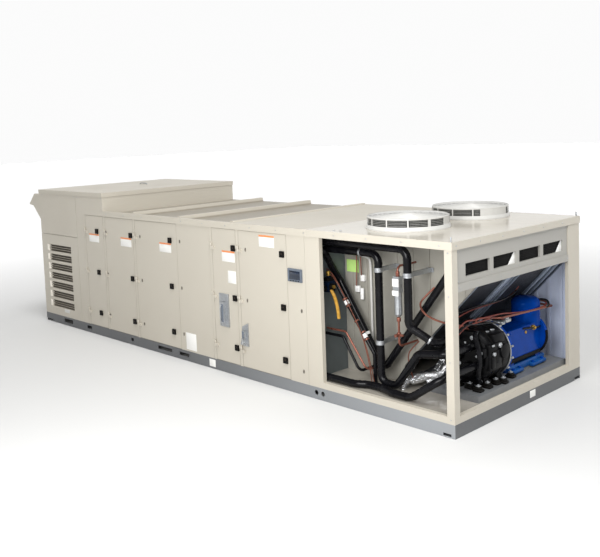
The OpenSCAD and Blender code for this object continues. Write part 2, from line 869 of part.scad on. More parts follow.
module insulated_tubes() {
    hose_1 = bulk_end + 520;
    thin_y = copper_y - thin_ahead;
    thin_z = copper_z - thin_drop;
    color("Black") place() {
        pipe([[bulk_end, vee_y, vee_start], [bulk_end + tube_run, vee_y, vee_start], [vee_x, vee_y, vee_z],
            [vee_end, vee_y, vee_end_z], [vee_end, plate_y, vee_end_z]], vee_diameter, tube_bend);
        pipe([[bulk_end, small_y, small_start], [bulk_end + tube_run, small_y, small_start],
            [small_x, small_y, small_z], [small_x, small_y, floor_top]], small_diameter, tube_bend);
        pipe([[bulk_end, hose_y, hose_z], [hose_1, hose_y, hose_z], [hose_1 + 130, hose_y + 70, hose_z],
            [hose_1 + 270, hose_y + 70, hose_z], [hose_1 + 480, hose_y + 10, hose_z],
            [hose_1 + 700, hose_y + 10, hose_z], [port_3[0], hose_y + 10, port_3[2]], port_3],
            hose_diameter, hose_bend);
        pipe([[bulk_end, thin_y, thin_z], [bulk_end + copper_run - 10, thin_y, thin_z],
            [thin_x, thin_y, line_foot - 15], [thin_x, plate_y, line_foot - 15]], thin_diameter, tube_bend);
    }
}

module foil_pipe() {
    end = comp_x - jacket_radius - port_reach;
    side = jacket_y + foil_side;
    color("Silver") place() pipe([[foil_x, foil_y, floor_top], [foil_x, foil_y, foil_low],
        [foil_x + 60, side - 160, foil_low], [foil_x + 90, side, foil_z], [end, side, foil_z]],
        foil, tube_bend);
}

module copper_lines() {
    drier_low = drier_top - drier_block - drier_body;
    jacket_top = comp_z + jacket_radius;
    start_y = jacket_y + 180;
    loop_back = head_y + head_radius + 105;
    loop_low = loop_z - loop_fall;
    color("Peru") place() {
        pipe([[bulk_end, copper_y, copper_z], [bulk_end + copper_run, copper_y, copper_z],
            [copper_x, copper_y, line_foot], [copper_x, plate_y, line_foot]], copper, tube_bend);
        pipe([[drier_x, pipe_y, drier_low], [drier_x, pipe_y, drier_low - drier_drop],
            [drier_x, plate_y, drier_low - drier_drop]], copper, 50);
        pipe([[drier_x, pipe_y, drier_top], [drier_x, pipe_y, drier_top + 100],
            [drier_x, plate_y, drier_top + 100]], copper, 50);
        pipe([[comp_x, start_y, jacket_top], [comp_x, start_y, loop_z],
            [comp_x + loop_reach, start_y + 160, loop_z], [comp_x + loop_reach, loop_back, loop_low],
            [head_x, loop_back, loop_low], [head_x, head_y + head_radius, loop_low]], copper, 40);
    }
}

module filter_drier() {
    body_low = drier_top - drier_block - drier_body;
    color("Silver") place() {
        translate([drier_x, pipe_y, body_low]) cylinder(h = 24, d1 = 44, d2 = drier_diameter);
        translate([drier_x, pipe_y, body_low + 24]) cylinder(h = drier_body - 24, d = drier_diameter);
        box(drier_x - drier_diameter / 2, drier_x + drier_diameter / 2, pipe_y - 30, pipe_y + 30,
            drier_top - drier_block, drier_top);
    }
}

module clamp(x, y, z) {
    translate([x, y, z]) difference() {
        union() {
            cylinder(h = clamp_height, d = pipe_diameter + 2 * clamp_wall);
            translate([-15, 0, 0]) cube([30, plate_y - rib_proud - y, clamp_height]);
            translate([-40, plate_y - rib_proud - y - 5, 0]) cube([80, 5, clamp_height]);
        }
        translate([0, 0, -1]) cylinder(h = clamp_height + 2, d = pipe_diameter + 0.6);
    }
}

module pipe_clamps() {
    color("Silver") place() {
        clamp(pipe_1_x, pipe_y, roof_bottom - clamp_drop);
        clamp(pipe_1_x, pipe_y, floor_top + clamp_rise);
        clamp(pipe_2_x, pipe_2_y, roof_bottom - clamp_drop);
    }
}

module valve_body() {
    color("RoyalBlue") place() {
        translate([bulk_end, copper_y - valve_ahead, valve_z]) cube([90, valve_size, valve_size]);
        translate([bulk_end + 45, copper_y - valve_ahead + valve_size / 2, valve_z + valve_size - 1])
            cylinder(h = 61, d = 40);
    }
}

base_rail_front();
base_rails_back();
base_crossmembers();
air_floor();
condenser_pan();
hood_end_wall();
louvre_panel();
screens();
front_panels();
door_posts();
display();
posts();
rear_walls();
air_roof();
raised_box_end();
raised_box_lid();
intake_hood();
door_1();
door_2();
door_3();
door_4();
door_5();
disconnect_plate();
disconnect_lever();
bulkhead();
sill_rails();
end_header();
coil_end_plate();
condenser_roof();
fan_guards();
fan_rotor_front();
fan_rotor_rear();
fan_motors();
coils();
coil_frames();
compressor_jacketed();
compressor_blue();
compressor_rails();
suction_pipes();
insulated_tubes();
foil_pipe();
copper_lines();
filter_drier();
pipe_clamps();
valve_body();
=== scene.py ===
"""Looks of a long packaged rooftop air handling unit, laid over its packed construction model."""

import math

import bpy
from mathutils import Matrix, Vector


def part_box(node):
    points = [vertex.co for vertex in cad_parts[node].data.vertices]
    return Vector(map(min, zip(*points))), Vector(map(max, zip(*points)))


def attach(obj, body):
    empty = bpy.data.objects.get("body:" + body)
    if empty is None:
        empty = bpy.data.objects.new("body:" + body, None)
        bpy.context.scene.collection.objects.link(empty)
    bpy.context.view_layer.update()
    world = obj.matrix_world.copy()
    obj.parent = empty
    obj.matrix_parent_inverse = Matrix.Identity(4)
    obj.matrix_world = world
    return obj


bl_info = {
    "name": "Rooftop Air Handler Dressing",
    "version": (1, 0, 0),
    "blender": (4, 5, 0),
    "location": "View3D > Sidebar > Air Handler",
    "description": "Finishes and fittings for a packaged rooftop air handling unit",
    "category": "Object",
}

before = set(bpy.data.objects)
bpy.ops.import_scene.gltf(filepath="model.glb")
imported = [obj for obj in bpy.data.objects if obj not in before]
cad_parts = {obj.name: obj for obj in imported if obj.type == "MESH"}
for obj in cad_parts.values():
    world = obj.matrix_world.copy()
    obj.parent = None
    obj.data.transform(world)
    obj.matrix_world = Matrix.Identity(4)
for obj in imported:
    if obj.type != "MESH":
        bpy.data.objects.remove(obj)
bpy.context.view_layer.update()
CORNER = Vector(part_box("base_rail_front")[0])

# Places in mm from the lower front corner at the intake end
DOORS = ("door_1", "door_2", "door_3", "door_4", "door_5")
DOOR_SPAN = dict(zip(DOORS, ((1335, 1822), (1866, 2565), (2609, 3541), (4241, 4681), (4725, 5525))))
LATCH_X = dict(zip(DOORS, (1656, 2513, 3403, 4639, 5455)))
LATCH_Z = (335, 916.5, 1498)
END, ROOF = 7650, 1790
FAN_X, FAN_Y, GUARD_RADIUS = 6620, (700, 1815), 417
COMPRESSOR_X, COMPRESSOR_Z = 7300, 554
HEAD_X, HEAD_Y = 7310, 1804


def mm(x, y, z):
    """A size or a step given in mm."""
    return Vector((x, y, z)) / 1000


def at(x, y, z):
    """A place in mm from the lower front corner at the intake end, in the frame."""
    return CORNER + mm(x, y, z)


def linear(hex_code):
    """An sRGB hex colour as linear RGBA."""
    parts = [int(hex_code[i : i + 2], 16) / 255 for i in (1, 3, 5)]
    return tuple(p / 12.92 if p <= 0.04045 else ((p + 0.055) / 1.055) ** 2.4 for p in parts) + (1.0,)


def shade(value, by=1.0):
    """A colour made darker or lighter."""
    return tuple(c * by for c in value[:3]) + (1.0,)


def worn(value, by):
    """The dark and the light tint of one colour."""
    return shade(value, by), shade(value)


def tints(dark, light):
    """The dark and the light tint, from their hex codes."""
    return linear(dark), linear(light)


def colour(label, note, hex_code):
    """A colour a user may change."""
    return bpy.props.FloatVectorProperty(
        name=label, description=note, default=linear(hex_code), size=4, min=0.0, max=1.0, subtype="COLOR"
    )


def size(label, note, millimetres):
    """A length a user may change."""
    return bpy.props.FloatProperty(
        name=label, description=note, default=millimetres / 1000, min=0.0, unit="LENGTH", subtype="DISTANCE"
    )


class AirHandlerColours(bpy.types.PropertyGroup):
    """Colours of the finishes."""

    cabinet: colour("Cabinet", "Powder coat of the walls, doors and roof", "#BEB8AB")
    cabinet_dust: colour("Cabinet dust", "Powder coat where dust has settled", "#AFA89B")
    base: colour("Base rails", "Grey paint of the base rails", "#5C5E60")
    lining: colour("Lining", "Pale sheet behind the piping bay", "#98958C")
    rear_lining: colour("Rear lining", "Blue white sheet inside the rear wall", "#DCE5FA")
    platform: colour("Platform", "Grey paint of the compressor platform", "#6A6C6E")
    pan: colour("Floor pan", "Painted floor of the condensing section", "#A5A096")
    bulkhead: colour("Bulkhead", "Dark coated sheet between the sections", "#5C6364")
    guard: colour("Fan guards", "White coat of the fan guards", "#C9C8C4")
    coil_frame: colour("Coil frames", "Galvanised channels round the coils", "#98A3B4")
    foam: colour("Pipe insulation", "Closed cell rubber foam", "#0B0B0E")
    enamel: colour("Blue compressor", "Blue enamel of the compressor's bare end", "#023A92")
    copper: colour("Copper", "Drawn copper tube", "#8F5848")
    zinc: colour("Zinc", "Zinc plated fittings", "#B9BCBF")
    tag: colour("Tags", "Plain white tags", "#E8E7E3")
    tag_stripe: colour("Tag stripe", "Stripe along the top of a tag", "#E58A4F")
    note: colour("Green card", "Plain green card in the piping bay", "#B9E07F")


class AirHandlerSizes(bpy.types.PropertyGroup):
    """Sizes of the fittings."""

    latch_face: size("Latch face", "Side of the square latch cover", 68)
    latch_proud: size("Latch depth", "How far a latch cover stands out", 20)
    stud_radius: size("Stud radius", "Radius of a keeper stud on a door", 11)
    tag_depth: size("Tag depth", "Thickness of a tag", 2.0)
    wire_radius: size("Guard wire", "Radius of a fan guard wire", 3.0)
    wire_pitch: size("Guard wire pitch", "Spacing of the rings of a fan guard", 9.5)
    screw_radius: size("Screw radius", "Radius of a sheet screw head", 7)
    bolt_radius: size("Bolt radius", "Radius of a mounting bolt head", 13)
    rib_width: size("Rib width", "Width of a pressed rib in the inner rear wall", 46)


def feed(tree, made, inputs):
    """Sets or links the inputs of a node."""
    for key, value in inputs.items():
        if isinstance(value, bpy.types.NodeSocket):
            tree.links.new(value, made.inputs[key])
        else:
            made.inputs[key].default_value = value


def add_node(tree, kind, inputs=None, **settings):
    """Adds a node with its settings, its values and its links."""
    made = tree.nodes.new(kind)
    for key, value in settings.items():
        setattr(made, key, value)
    feed(tree, made, inputs or {})
    return made


def bare_material(name):
    """A new material, its tree, its shader and the object coordinates."""
    made = bpy.data.materials.new(name)
    made.use_nodes = True
    tree = made.node_tree
    place = add_node(tree, "ShaderNodeTexCoord").outputs["Object"]
    return made, tree, tree.nodes["Principled BSDF"], place


def patchy(name, dark, light, patch_mm, grit_mm, rough, relief_mm, metallic=0.0, coat=0.0, shine=0.5):
    """A finish with soft patches of tint and gloss, and a fine grit in its relief."""
    made, tree, shader, place = bare_material(name)
    patches = {"Vector": place, "Scale": 1000 / patch_mm, "Detail": 4.0, "Roughness": 0.6}
    cloud = add_node(tree, "ShaderNodeTexNoise", patches).outputs[0]
    wide = add_node(tree, "ShaderNodeMapRange", {0: cloud, 1: 0.32, 2: 0.68}).outputs[0]
    gloss = add_node(tree, "ShaderNodeMapRange", {0: cloud, 1: 0.3, 2: 0.7, 3: rough - 0.06, 4: rough + 0.06})
    grit = add_node(tree, "ShaderNodeTexNoise", {"Vector": place, "Scale": 1000 / grit_mm, "Detail": 2.0})
    relief = add_node(
        tree, "ShaderNodeBump", {"Height": grit.outputs[0], "Strength": 0.6, "Distance": relief_mm / 1000}
    )
    paint = add_node(tree, "ShaderNodeMix", {0: wide, 6: dark, 7: light}, data_type="RGBA")
    feed(tree, shader, {
        "Base Color": paint.outputs[2], "Roughness": gloss.outputs[0], "Normal": relief.outputs[0],
        "Metallic": metallic, "Coat Weight": coat, "Specular IOR Level": shine,
    })
    return made


def powder_coat(name, clean, dusty, tone_band=None, rough=0.36):
    """Polyester powder coat on sheet steel: even, faint orange peel, dust towards the ground.

    A band of another tone can take over along an axis of the frame, between two places in mm: painted light
    on the front rail, painted shade in the louvre slots and on the header plate, a darker tone on the sunken
    roof panels.
    """
    made, tree, shader, place = bare_material(name)
    spot = add_node(tree, "ShaderNodeSeparateXYZ", {"Vector": place}).outputs
    low = add_node(tree, "ShaderNodeMapRange", {0: spot["Z"], 1: 0.15, 2: 0.9, 3: 0.75, 4: 0.15}).outputs[0]
    cloud = add_node(
        tree, "ShaderNodeTexNoise", {"Vector": place, "Scale": 1000 / 640, "Detail": 5.0, "Roughness": 0.65}
    ).outputs[0]
    dust = add_node(tree, "ShaderNodeMath", {0: cloud, 1: low}, operation="MULTIPLY").outputs[0]
    gloss = add_node(tree, "ShaderNodeMapRange", {0: cloud, 1: 0.3, 2: 0.7, 3: rough, 4: rough + 0.12})
    # The real orange peel is about 1 mm wide, drawn at 6 mm so that it shows
    peel = add_node(tree, "ShaderNodeTexNoise", {"Vector": place, "Scale": 1000 / 6, "Detail": 1.0})
    relief = add_node(
        tree, "ShaderNodeBump", {"Height": peel.outputs[0], "Strength": 0.25, "Distance": 0.0006}
    )
    paint = add_node(tree, "ShaderNodeMix", {0: dust, 6: clean, 7: dusty}, data_type="RGBA").outputs[2]
    if tone_band:
        axis, start, end, band_colour = tone_band
        first, last = (at(place_mm, place_mm, place_mm)["XYZ".index(axis)] for place_mm in (start, end))
        reach = add_node(tree, "ShaderNodeMapRange", {0: spot[axis], 1: first, 2: last}).outputs[0]
        if axis != "Y":
            # Along X only the front face takes the band, along Z only what lies behind the front posts
            near, deep = (5, 2) if axis == "X" else (34, 42)
            edge = add_node(
                tree, "ShaderNodeMapRange", {0: spot["Y"], 1: at(0, near, 0).y, 2: at(0, deep, 0).y}
            ).outputs[0]
            reach = add_node(tree, "ShaderNodeMath", {0: reach, 1: edge}, operation="MULTIPLY").outputs[0]
        paint = add_node(
            tree, "ShaderNodeMix", {0: reach, 6: paint, 7: linear(band_colour)}, data_type="RGBA"
        ).outputs[2]
    feed(tree, shader, {"Base Color": paint, "Roughness": gloss.outputs[0], "Normal": relief.outputs[0]})
    return made


def wave_scale(spacing_mm):
    """The scale at which the bands of a wave texture lie this far apart."""
    return 1000 / spacing_mm / 20 * 2 * math.pi


def expanded_metal(name, pale, shine=0.5):
    """Expanded steel mesh: paler strands about 12 mm apart, with the openings between them painted black as
    the shade behind.
    """
    made, tree, shader, place = bare_material(name)
    slanted = add_node(tree, "ShaderNodeMapping", {"Vector": place, "Rotation": (0.0, math.radians(45), 0.0)})
    wave = {"Vector": slanted.outputs[0], "Scale": wave_scale(12)}
    first, second = (
        add_node(tree, "ShaderNodeTexWave", wave, bands_direction=way).outputs[1] for way in ("X", "Z")
    )
    both = add_node(tree, "ShaderNodeMath", {0: first, 1: second}, operation="MAXIMUM")
    strand = add_node(tree, "ShaderNodeMapRange", {0: both.outputs[0], 1: 0.8, 2: 0.95}).outputs[0]
    dark, light = tints("#060606", pale)
    paint = add_node(tree, "ShaderNodeMix", {0: strand, 6: dark, 7: light}, data_type="RGBA")
    relief = add_node(tree, "ShaderNodeBump", {"Height": strand, "Strength": 0.8, "Distance": 0.002})
    feed(tree, shader, {
        "Base Color": paint.outputs[2], "Normal": relief.outputs[0],
        "Roughness": 0.6, "Specular IOR Level": shine,
    })
    return made


def finned(name):
    """Aluminium fins on coil tubes, 4 mm apart, drawn at 9 mm so that they show: the dark gaps between them
    are painted shade.
    """
    made, tree, shader, place = bare_material(name)
    wave = {"Vector": place, "Scale": wave_scale(9)}
    fins = add_node(tree, "ShaderNodeTexWave", wave, bands_direction="Y").outputs[1]
    cloud = add_node(tree, "ShaderNodeTexNoise", {"Vector": place, "Scale": 1000 / 180, "Detail": 3.0})
    depth = add_node(tree, "ShaderNodeMath", {0: fins, 1: cloud.outputs[0]}, operation="MULTIPLY").outputs[0]
    dark, light = tints("#131417", "#5A5E66")
    paint = add_node(tree, "ShaderNodeMix", {0: depth, 6: dark, 7: light}, data_type="RGBA")
    relief = add_node(tree, "ShaderNodeBump", {"Height": fins, "Strength": 0.7, "Distance": 0.003})
    feed(tree, shader, {
        "Base Color": paint.outputs[2], "Normal": relief.outputs[0], "Metallic": 0.6, "Roughness": 0.5,
    })
    return made


def crumpled_foil(name):
    """Aluminium foil wrap: bright creases and folds 20 to 40 mm across."""
    made, tree, shader, place = bare_material(name)
    cells = {"Vector": place, "Scale": 1000 / 34}
    crease = add_node(tree, "ShaderNodeTexVoronoi", cells, feature="DISTANCE_TO_EDGE").outputs[0]
    folds = {"Vector": place, "Scale": 1000 / 22, "Detail": 4.0}
    soft = add_node(tree, "ShaderNodeTexNoise", folds).outputs[0]
    both = add_node(tree, "ShaderNodeMath", {0: crease, 1: soft}, operation="ADD").outputs[0]
    dark, light = tints("#C9CCD0", "#F2F3F5")
    paint = add_node(tree, "ShaderNodeMix", {0: soft, 6: dark, 7: light}, data_type="RGBA")
    relief = add_node(tree, "ShaderNodeBump", {"Height": both, "Strength": 1.0, "Distance": 0.012})
    feed(tree, shader, {
        "Base Color": paint.outputs[2], "Normal": relief.outputs[0], "Metallic": 1.0, "Roughness": 0.26,
    })
    return made


def spangled(name, bright, metallic=0.85):
    """Zinc plated or galvanised steel: faint crystal spangle 14 mm across."""
    made, tree, shader, place = bare_material(name)
    flake = add_node(tree, "ShaderNodeTexVoronoi", {"Vector": place, "Scale": 1000 / 14})
    value = add_node(tree, "ShaderNodeSeparateColor", {"Color": flake.outputs["Color"]}).outputs[0]
    gloss = add_node(tree, "ShaderNodeMapRange", {0: value, 3: 0.28, 4: 0.46})
    paint = add_node(tree, "ShaderNodeMix", {0: value, 6: shade(bright, 0.78), 7: bright}, data_type="RGBA")
    feed(tree, shader, {
        "Base Color": paint.outputs[2], "Roughness": gloss.outputs[0], "Metallic": metallic,
    })
    return made


def studio_floor(name):
    """Pale matt floor, whiter away from the middle: painted light that makes up for the lamps falling off
    away from the unit.
    """
    made, tree, shader, place = bare_material(name)
    away = add_node(tree, "ShaderNodeVectorMath", {0: place}, operation="LENGTH").outputs["Value"]
    far = add_node(tree, "ShaderNodeMapRange", {0: away, 1: 4.5, 2: 11.0}).outputs[0]
    dark, light = tints("#CACAC9", "#FAFAFA")
    paint = add_node(tree, "ShaderNodeMix", {0: far, 6: dark, 7: light}, data_type="RGBA")
    feed(tree, shader, {"Base Color": paint.outputs[2], "Roughness": 0.7})
    return made


def blue_sheen(made):
    """Keeps the highlights of a blue enamel blue."""
    tree = made.node_tree
    feed(tree, tree.nodes["Principled BSDF"], {"Specular Tint": (0.2, 0.5, 1.0, 1.0)})
    return made


def make_finishes():
    """All the materials, by the names that the pieces use."""
    hue = bpy.context.scene.air_handler_colours
    coat = (shade(hue.cabinet), shade(hue.cabinet_dust))
    rail = (shade(hue.base), shade(hue.base, 0.86))
    foam = (shade(hue.foam, 0.7), shade(hue.foam, 1.5))
    seal = (shade(hue.cabinet_dust, 0.82), shade(hue.cabinet_dust, 0.9))
    return {
        # Powder coated sheet steel: satin, even
        "cabinet": powder_coat("powder_coated_sheet_steel", *coat),
        # Enamelled channel steel: satin grey with scuffs 90 mm long
        "base": patchy("painted_channel_steel", *worn(hue.base, 0.86), 90, 4, 0.45, 0.4),
        # The same grey on the front rail, lighter towards the open end: painted light where the floor lights
        # it
        "front_rail": powder_coat("channel_steel_painted_light", *rail, ("X", 3600, 7300, "#8B8E91")),
        # Pale precoated sheet: soft, slightly cloudy
        "lining": patchy("precoated_lining_sheet", *worn(hue.lining, 0.92), 300, 5, 0.42, 0.3),
        # The same sheet with a blue white coat
        "rear_lining": patchy("blue_white_lining_sheet", *worn(hue.rear_lining, 0.92), 260, 5, 0.4, 0.3),
        # Grey floor paint on folded sheet: satin, rubbed in patches 120 mm wide
        "platform": patchy("grey_platform_paint", *worn(hue.platform, 0.82), 120, 6, 0.36, 0.4),
        # Wet looking floor paint: pools of gloss 200 mm wide
        "pan": patchy("gloss_floor_paint", *worn(hue.pan, 0.85), 200, 12, 0.2, 0.3, coat=0.4),
        # Dark coated steel sheet: matt with faint mottling
        "bulkhead": patchy("dark_coated_sheet", *worn(hue.bulkhead, 0.85), 160, 5, 0.5, 0.3),
        # White polyester coat on wire and sheet: half gloss
        "guard": patchy("white_polyester_coat", *worn(hue.guard, 0.93), 120, 4, 0.38, 0.2),
        # Cream coat on the louvre jambs, paler than the cabinet: painted light on the lit jambs
        "jamb_painted_light": patchy("cream_coat_painted_light", *tints("#EFE9DC", "#F8F3E8"), 80, 4, 0.4, 0.1),
        # Galvanised channel: spangle under a dull bloom
        "coil_frame": spangled("galvanised_channel", shade(hue.coil_frame), 0.35),
        # Aluminium fins: fine dark lines, painted shade in the gaps
        "fins": finned("aluminium_fin_pack"),
        # Expanded steel: grey strands, with the openings painted black as shade
        "mesh": expanded_metal("expanded_steel_mesh", "#3A3835"),
        # The same, near black, so that the strands hardly show: a net behind the header windows, and painted
        # shade for the dark inside seen through them
        "dark_mesh": expanded_metal("black_mesh_and_painted_shade", "#121111", 0.1),
        # The cabinet coat, darkening from 18 to 26 mm deep in the louvre slots: painted shade in the recesses
        "louvre": powder_coat("powder_coated_louvre", *coat, ("Y", 18, 26, "#5E564A")),
        # The cabinet coat, greyer on the recessed header plate: painted shade under the roof lip
        "header": powder_coat("powder_coated_header", *coat, ("Z", 1322, 1326, "#A09E98")),
        # The cabinet coat, darker and greyer on the sunken roof panels
        "roof": powder_coat("powder_coated_roof_sheet", *coat, ("Z", 1772, 1756, "#948D80")),
        # The cabinet coat, fresh and half gloss on the roof round the fans
        "fan_roof": powder_coat("powder_coated_fan_roof", *coat, rough=0.13),
        # Glass filled nylon: black grey, fine grain
        "fan_blade": patchy("glass_filled_nylon", *tints("#232427", "#303236"), 60, 2, 0.5, 0.2),
        # Closed cell rubber foam: soft black sheen, skin dimples 8 mm across
        "foam": patchy("closed_cell_rubber_foam", *foam, 70, 8, 0.24, 0.4, shine=0.18),
        # Quilted sound jacket: vinyl over foam, dull
        "jacket": patchy("vinyl_sound_jacket", *tints("#040405", "#0B0B0D"), 90, 40, 0.36, 1.5, shine=0.12),
        # Baked enamel: deep gloss
        "enamel": blue_sheen(
            patchy("blue_baked_enamel", *worn(hue.enamel, 0.8), 110, 20, 0.16, 0.03, shine=0.12)
        ),
        # The same enamel, lighter on the feet: painted light from above
        "lit_enamel": patchy(
            "blue_enamel_painted_light", *tints("#0B3F7E", "#164F90"), 60, 20, 0.35, 0.05, shine=0.2
        ),
        # Cast valve body under dark blue paint
        "valve": patchy("dark_blue_casting_paint", *tints("#040F1E", "#081A33"), 30, 4, 0.4, 0.3, shine=0.12),
        # Aluminium foil: mirror bright, creased
        "foil": crumpled_foil("aluminium_foil_wrap"),
        # Drawn copper tube: warm metal with dull patches
        "copper": patchy("drawn_copper_tube", *worn(hue.copper, 0.65), 40, 3, 0.32, 0.1, metallic=0.5),
        # Zinc plate: pale metal with a faint spangle
        "zinc": spangled("zinc_plated_steel", shade(hue.zinc)),
        # Passivated zinc on the studs: dull, brownish
        "stud": patchy("passivated_zinc", *tints("#5E5A53", "#7E7970"), 20, 3, 0.42, 0.1, metallic=0.4),
        # Side wires of the fan guards: dull grey, darker than the white top rings
        "grey_wire": patchy("grey_guard_side_wire", *tints("#7C7C78", "#8E8E8A"), 60, 4, 0.5, 0.1),
        # Moulded ABS: fine spark grain
        "black_abs": patchy("black_moulded_abs", *tints("#060504", "#0E0C0A"), 30, 2, 0.55, 0.2, shine=0.15),
        # Rubber seal in the door gaps: dull, tinted like the cabinet; the same dimmed tint on the louvre
        # blade edges is painted shade
        "dim_cabinet_tint": patchy("tinted_seal_and_blade_shade", *seal, 60, 3, 0.7, 0.2, shine=0.2),
        # Moulded ABS of the display: grey, fine grain; on the disconnect slots the same grey is painted shade
        # in the recesses
        "grey_abs_and_slot_shade": patchy("grey_moulded_abs_and_slot_shade", *tints("#59616C", "#666E79"), 40, 2, 0.45, 0.2),
        # Moulded nylon: clean white, half gloss
        "white_nylon": patchy("white_moulded_nylon", *tints("#E4E3E0", "#F4F4F2"), 30, 3, 0.4, 0.2),
        # Polyester film: smooth, faint unevenness
        "tag": patchy("white_polyester_film", *worn(hue.tag, 0.97), 60, 5, 0.35, 0.1),
        # The same film printed orange
        "stripe": patchy("orange_printed_film", *worn(hue.tag_stripe, 0.92), 40, 5, 0.4, 0.1),
        # Dyed card: matt, a little fibrous
        "note": patchy("green_card", *worn(hue.note, 0.93), 50, 2, 0.7, 0.15),
        # Liquid crystal panel under acrylic: near black, glossy
        "screen": patchy("acrylic_screen", *tints("#0D1420", "#1C2A3F"), 20, 6, 0.12, 0.02, coat=0.5),
        # Turned brass: warm yellow metal
        "brass": patchy("turned_brass", *tints("#9C7A35", "#D2AC58"), 20, 3, 0.3, 0.1, metallic=0.9),
        # Cast bronze: dark brown, dull
        "bronze": patchy("dark_bronze_casting", *tints("#1C1510", "#3A2B1E"), 12, 3, 0.5, 0.1, metallic=0.4),
        # Extruded PVC sleeve: dusty yellow, half gloss
        "yellow_hose": patchy("yellow_pvc_sleeve", *tints("#A87A22", "#CFA040"), 30, 4, 0.4, 0.2),
        # Silicone cable sleeve: dull red
        "red_sleeve": patchy("red_silicone_sleeve", *tints("#561F18", "#8A3B2D"), 25, 4, 0.45, 0.2),
    }


FINISH_OF_NODE = {
    "louvre": "louvre_panel",
    "roof": "air_roof",
    "platform": "compressor_rails",
    "cabinet": "hood_end_wall front_panels door_posts posts rear_walls raised_box_end "
    "raised_box_lid intake_hood door_1 door_2 door_3 door_4 door_5 sill_rails",
    "fan_roof": "condenser_roof",
    "header": "end_header",
    "base": "base_rails_back base_crossmembers",
    "front_rail": "base_rail_front",
    "lining": "coil_end_plate air_floor",
    "pan": "condenser_pan",
    "bulkhead": "bulkhead",
    "guard": "fan_guards",
    "coil_frame": "coil_frames",
    "fins": "coils",
    "mesh": "screens",
    "fan_blade": "fan_rotor_front fan_rotor_rear fan_motors",
    "foam": "suction_pipes insulated_tubes",
    "jacket": "compressor_jacketed",
    "enamel": "compressor_blue",
    "valve": "valve_body",
    "foil": "foil_pipe",
    "copper": "copper_lines",
    "zinc": "disconnect_plate disconnect_lever filter_drier pipe_clamps",
    "grey_abs_and_slot_shade": "display",
}
FINISH = {}
TURN = {"X": (0, math.pi / 2, 0), "Y": (math.pi / 2, 0, 0), "Z": (0, 0, 0)}


def deselect():
    """Nothing selected."""
    bpy.ops.object.select_all(action="DESELECT")


def activate(piece):
    """Only this piece selected, and active."""
    deselect()
    piece.select_set(True)
    bpy.context.view_layer.objects.active = piece


def ease_rims(piece, width):
    """Bevels the sharp rims of the active piece."""
    rim = piece.modifiers.new("Rim", "BEVEL")
    rim.width = width
    rim.segments = 2
    rim.limit_method = "ANGLE"
    rim.angle_limit = math.radians(50)
    bpy.ops.object.modifier_apply(modifier="Rim")


def slab(low, high, bevel):
    """Block between two corners with its edges eased."""
    deselect()
    bpy.ops.mesh.primitive_cube_add(size=1, location=(low + high) / 2, scale=high - low)
    bpy.ops.object.transform_apply(location=True, rotation=True, scale=True)
    bpy.ops.object.mode_set(mode="EDIT")
    bpy.ops.mesh.select_all(action="SELECT")
    bpy.ops.mesh.bevel(offset=bevel, segments=2, affect="EDGES")
    bpy.ops.object.mode_set(mode="OBJECT")
    return bpy.context.object


def drum(centre, radius, depth, axis, bevel, sides=20):
    """Round piece along an axis with its rims eased."""
    deselect()
    bpy.ops.mesh.primitive_cylinder_add(
        vertices=sides, radius=radius, depth=depth, location=centre, rotation=TURN[axis]
    )
    piece = bpy.context.object
    bpy.ops.object.transform_apply(location=True, rotation=True, scale=True)
    ease_rims(piece, bevel)
    return piece


def nut(place, radius, height, axis="Z"):
    """Hexagon head or nut with an eased rim."""
    return drum(place, radius, height, axis, radius * 0.12, 6)


def hoop(centre, radius, wire, axis, around, sides):
    """Wire ring about an axis."""
    deselect()
    bpy.ops.mesh.primitive_torus_add(
        major_radius=radius, minor_radius=wire, major_segments=around, minor_segments=sides,
        location=centre, rotation=TURN[axis],
    )
    bpy.ops.object.transform_apply(location=True, rotation=True, scale=True)
    return bpy.context.object


def collar(start, end, inner, outer, sides=32):
    """Ring of sheet round a pipe that runs from start to end."""
    deselect()
    run = end - start
    bpy.ops.mesh.primitive_cylinder_add(
        vertices=sides, radius=outer, depth=run.length, end_fill_type="NOTHING"
    )
    piece = bpy.context.object
    wall = piece.modifiers.new("Wall", "SOLIDIFY")
    wall.thickness = outer - inner
    wall.offset = -1
    bpy.ops.object.modifier_apply(modifier="Wall")
    ease_rims(piece, (outer - inner) * 0.3)
    turn = Vector((0, 0, 1)).rotation_difference(run.normalized()).to_matrix().to_4x4()
    piece.data.transform(Matrix.Translation((start + end) / 2) @ turn)
    return piece


def as_mesh(line, name):
    """A curve as a mesh piece."""
    piece = bpy.data.objects.new(name, line)
    bpy.context.collection.objects.link(piece)
    activate(piece)
    bpy.ops.object.convert(target="MESH")
    return bpy.context.object


def bent_rod(points, radius):
    """Round rod through points with soft bends, as a mesh."""
    deselect()
    line = bpy.data.curves.new("rod", "CURVE")
    line.dimensions = "3D"
    line.bevel_depth = radius
    line.bevel_resolution = 3
    line.use_fill_caps = True
    line.resolution_u = 8
    spline = line.splines.new("NURBS")
    spline.points.add(len(points) - 1)
    for knot, point in zip(spline.points, points):
        knot.co = (*point, 1.0)
    spline.order_u = 3
    spline.use_endpoint_u = True
    return as_mesh(line, "rod")


def tube(radius, places):
    """Round rod through places in mm."""
    return bent_rod([at(*place) for place in places], radius)


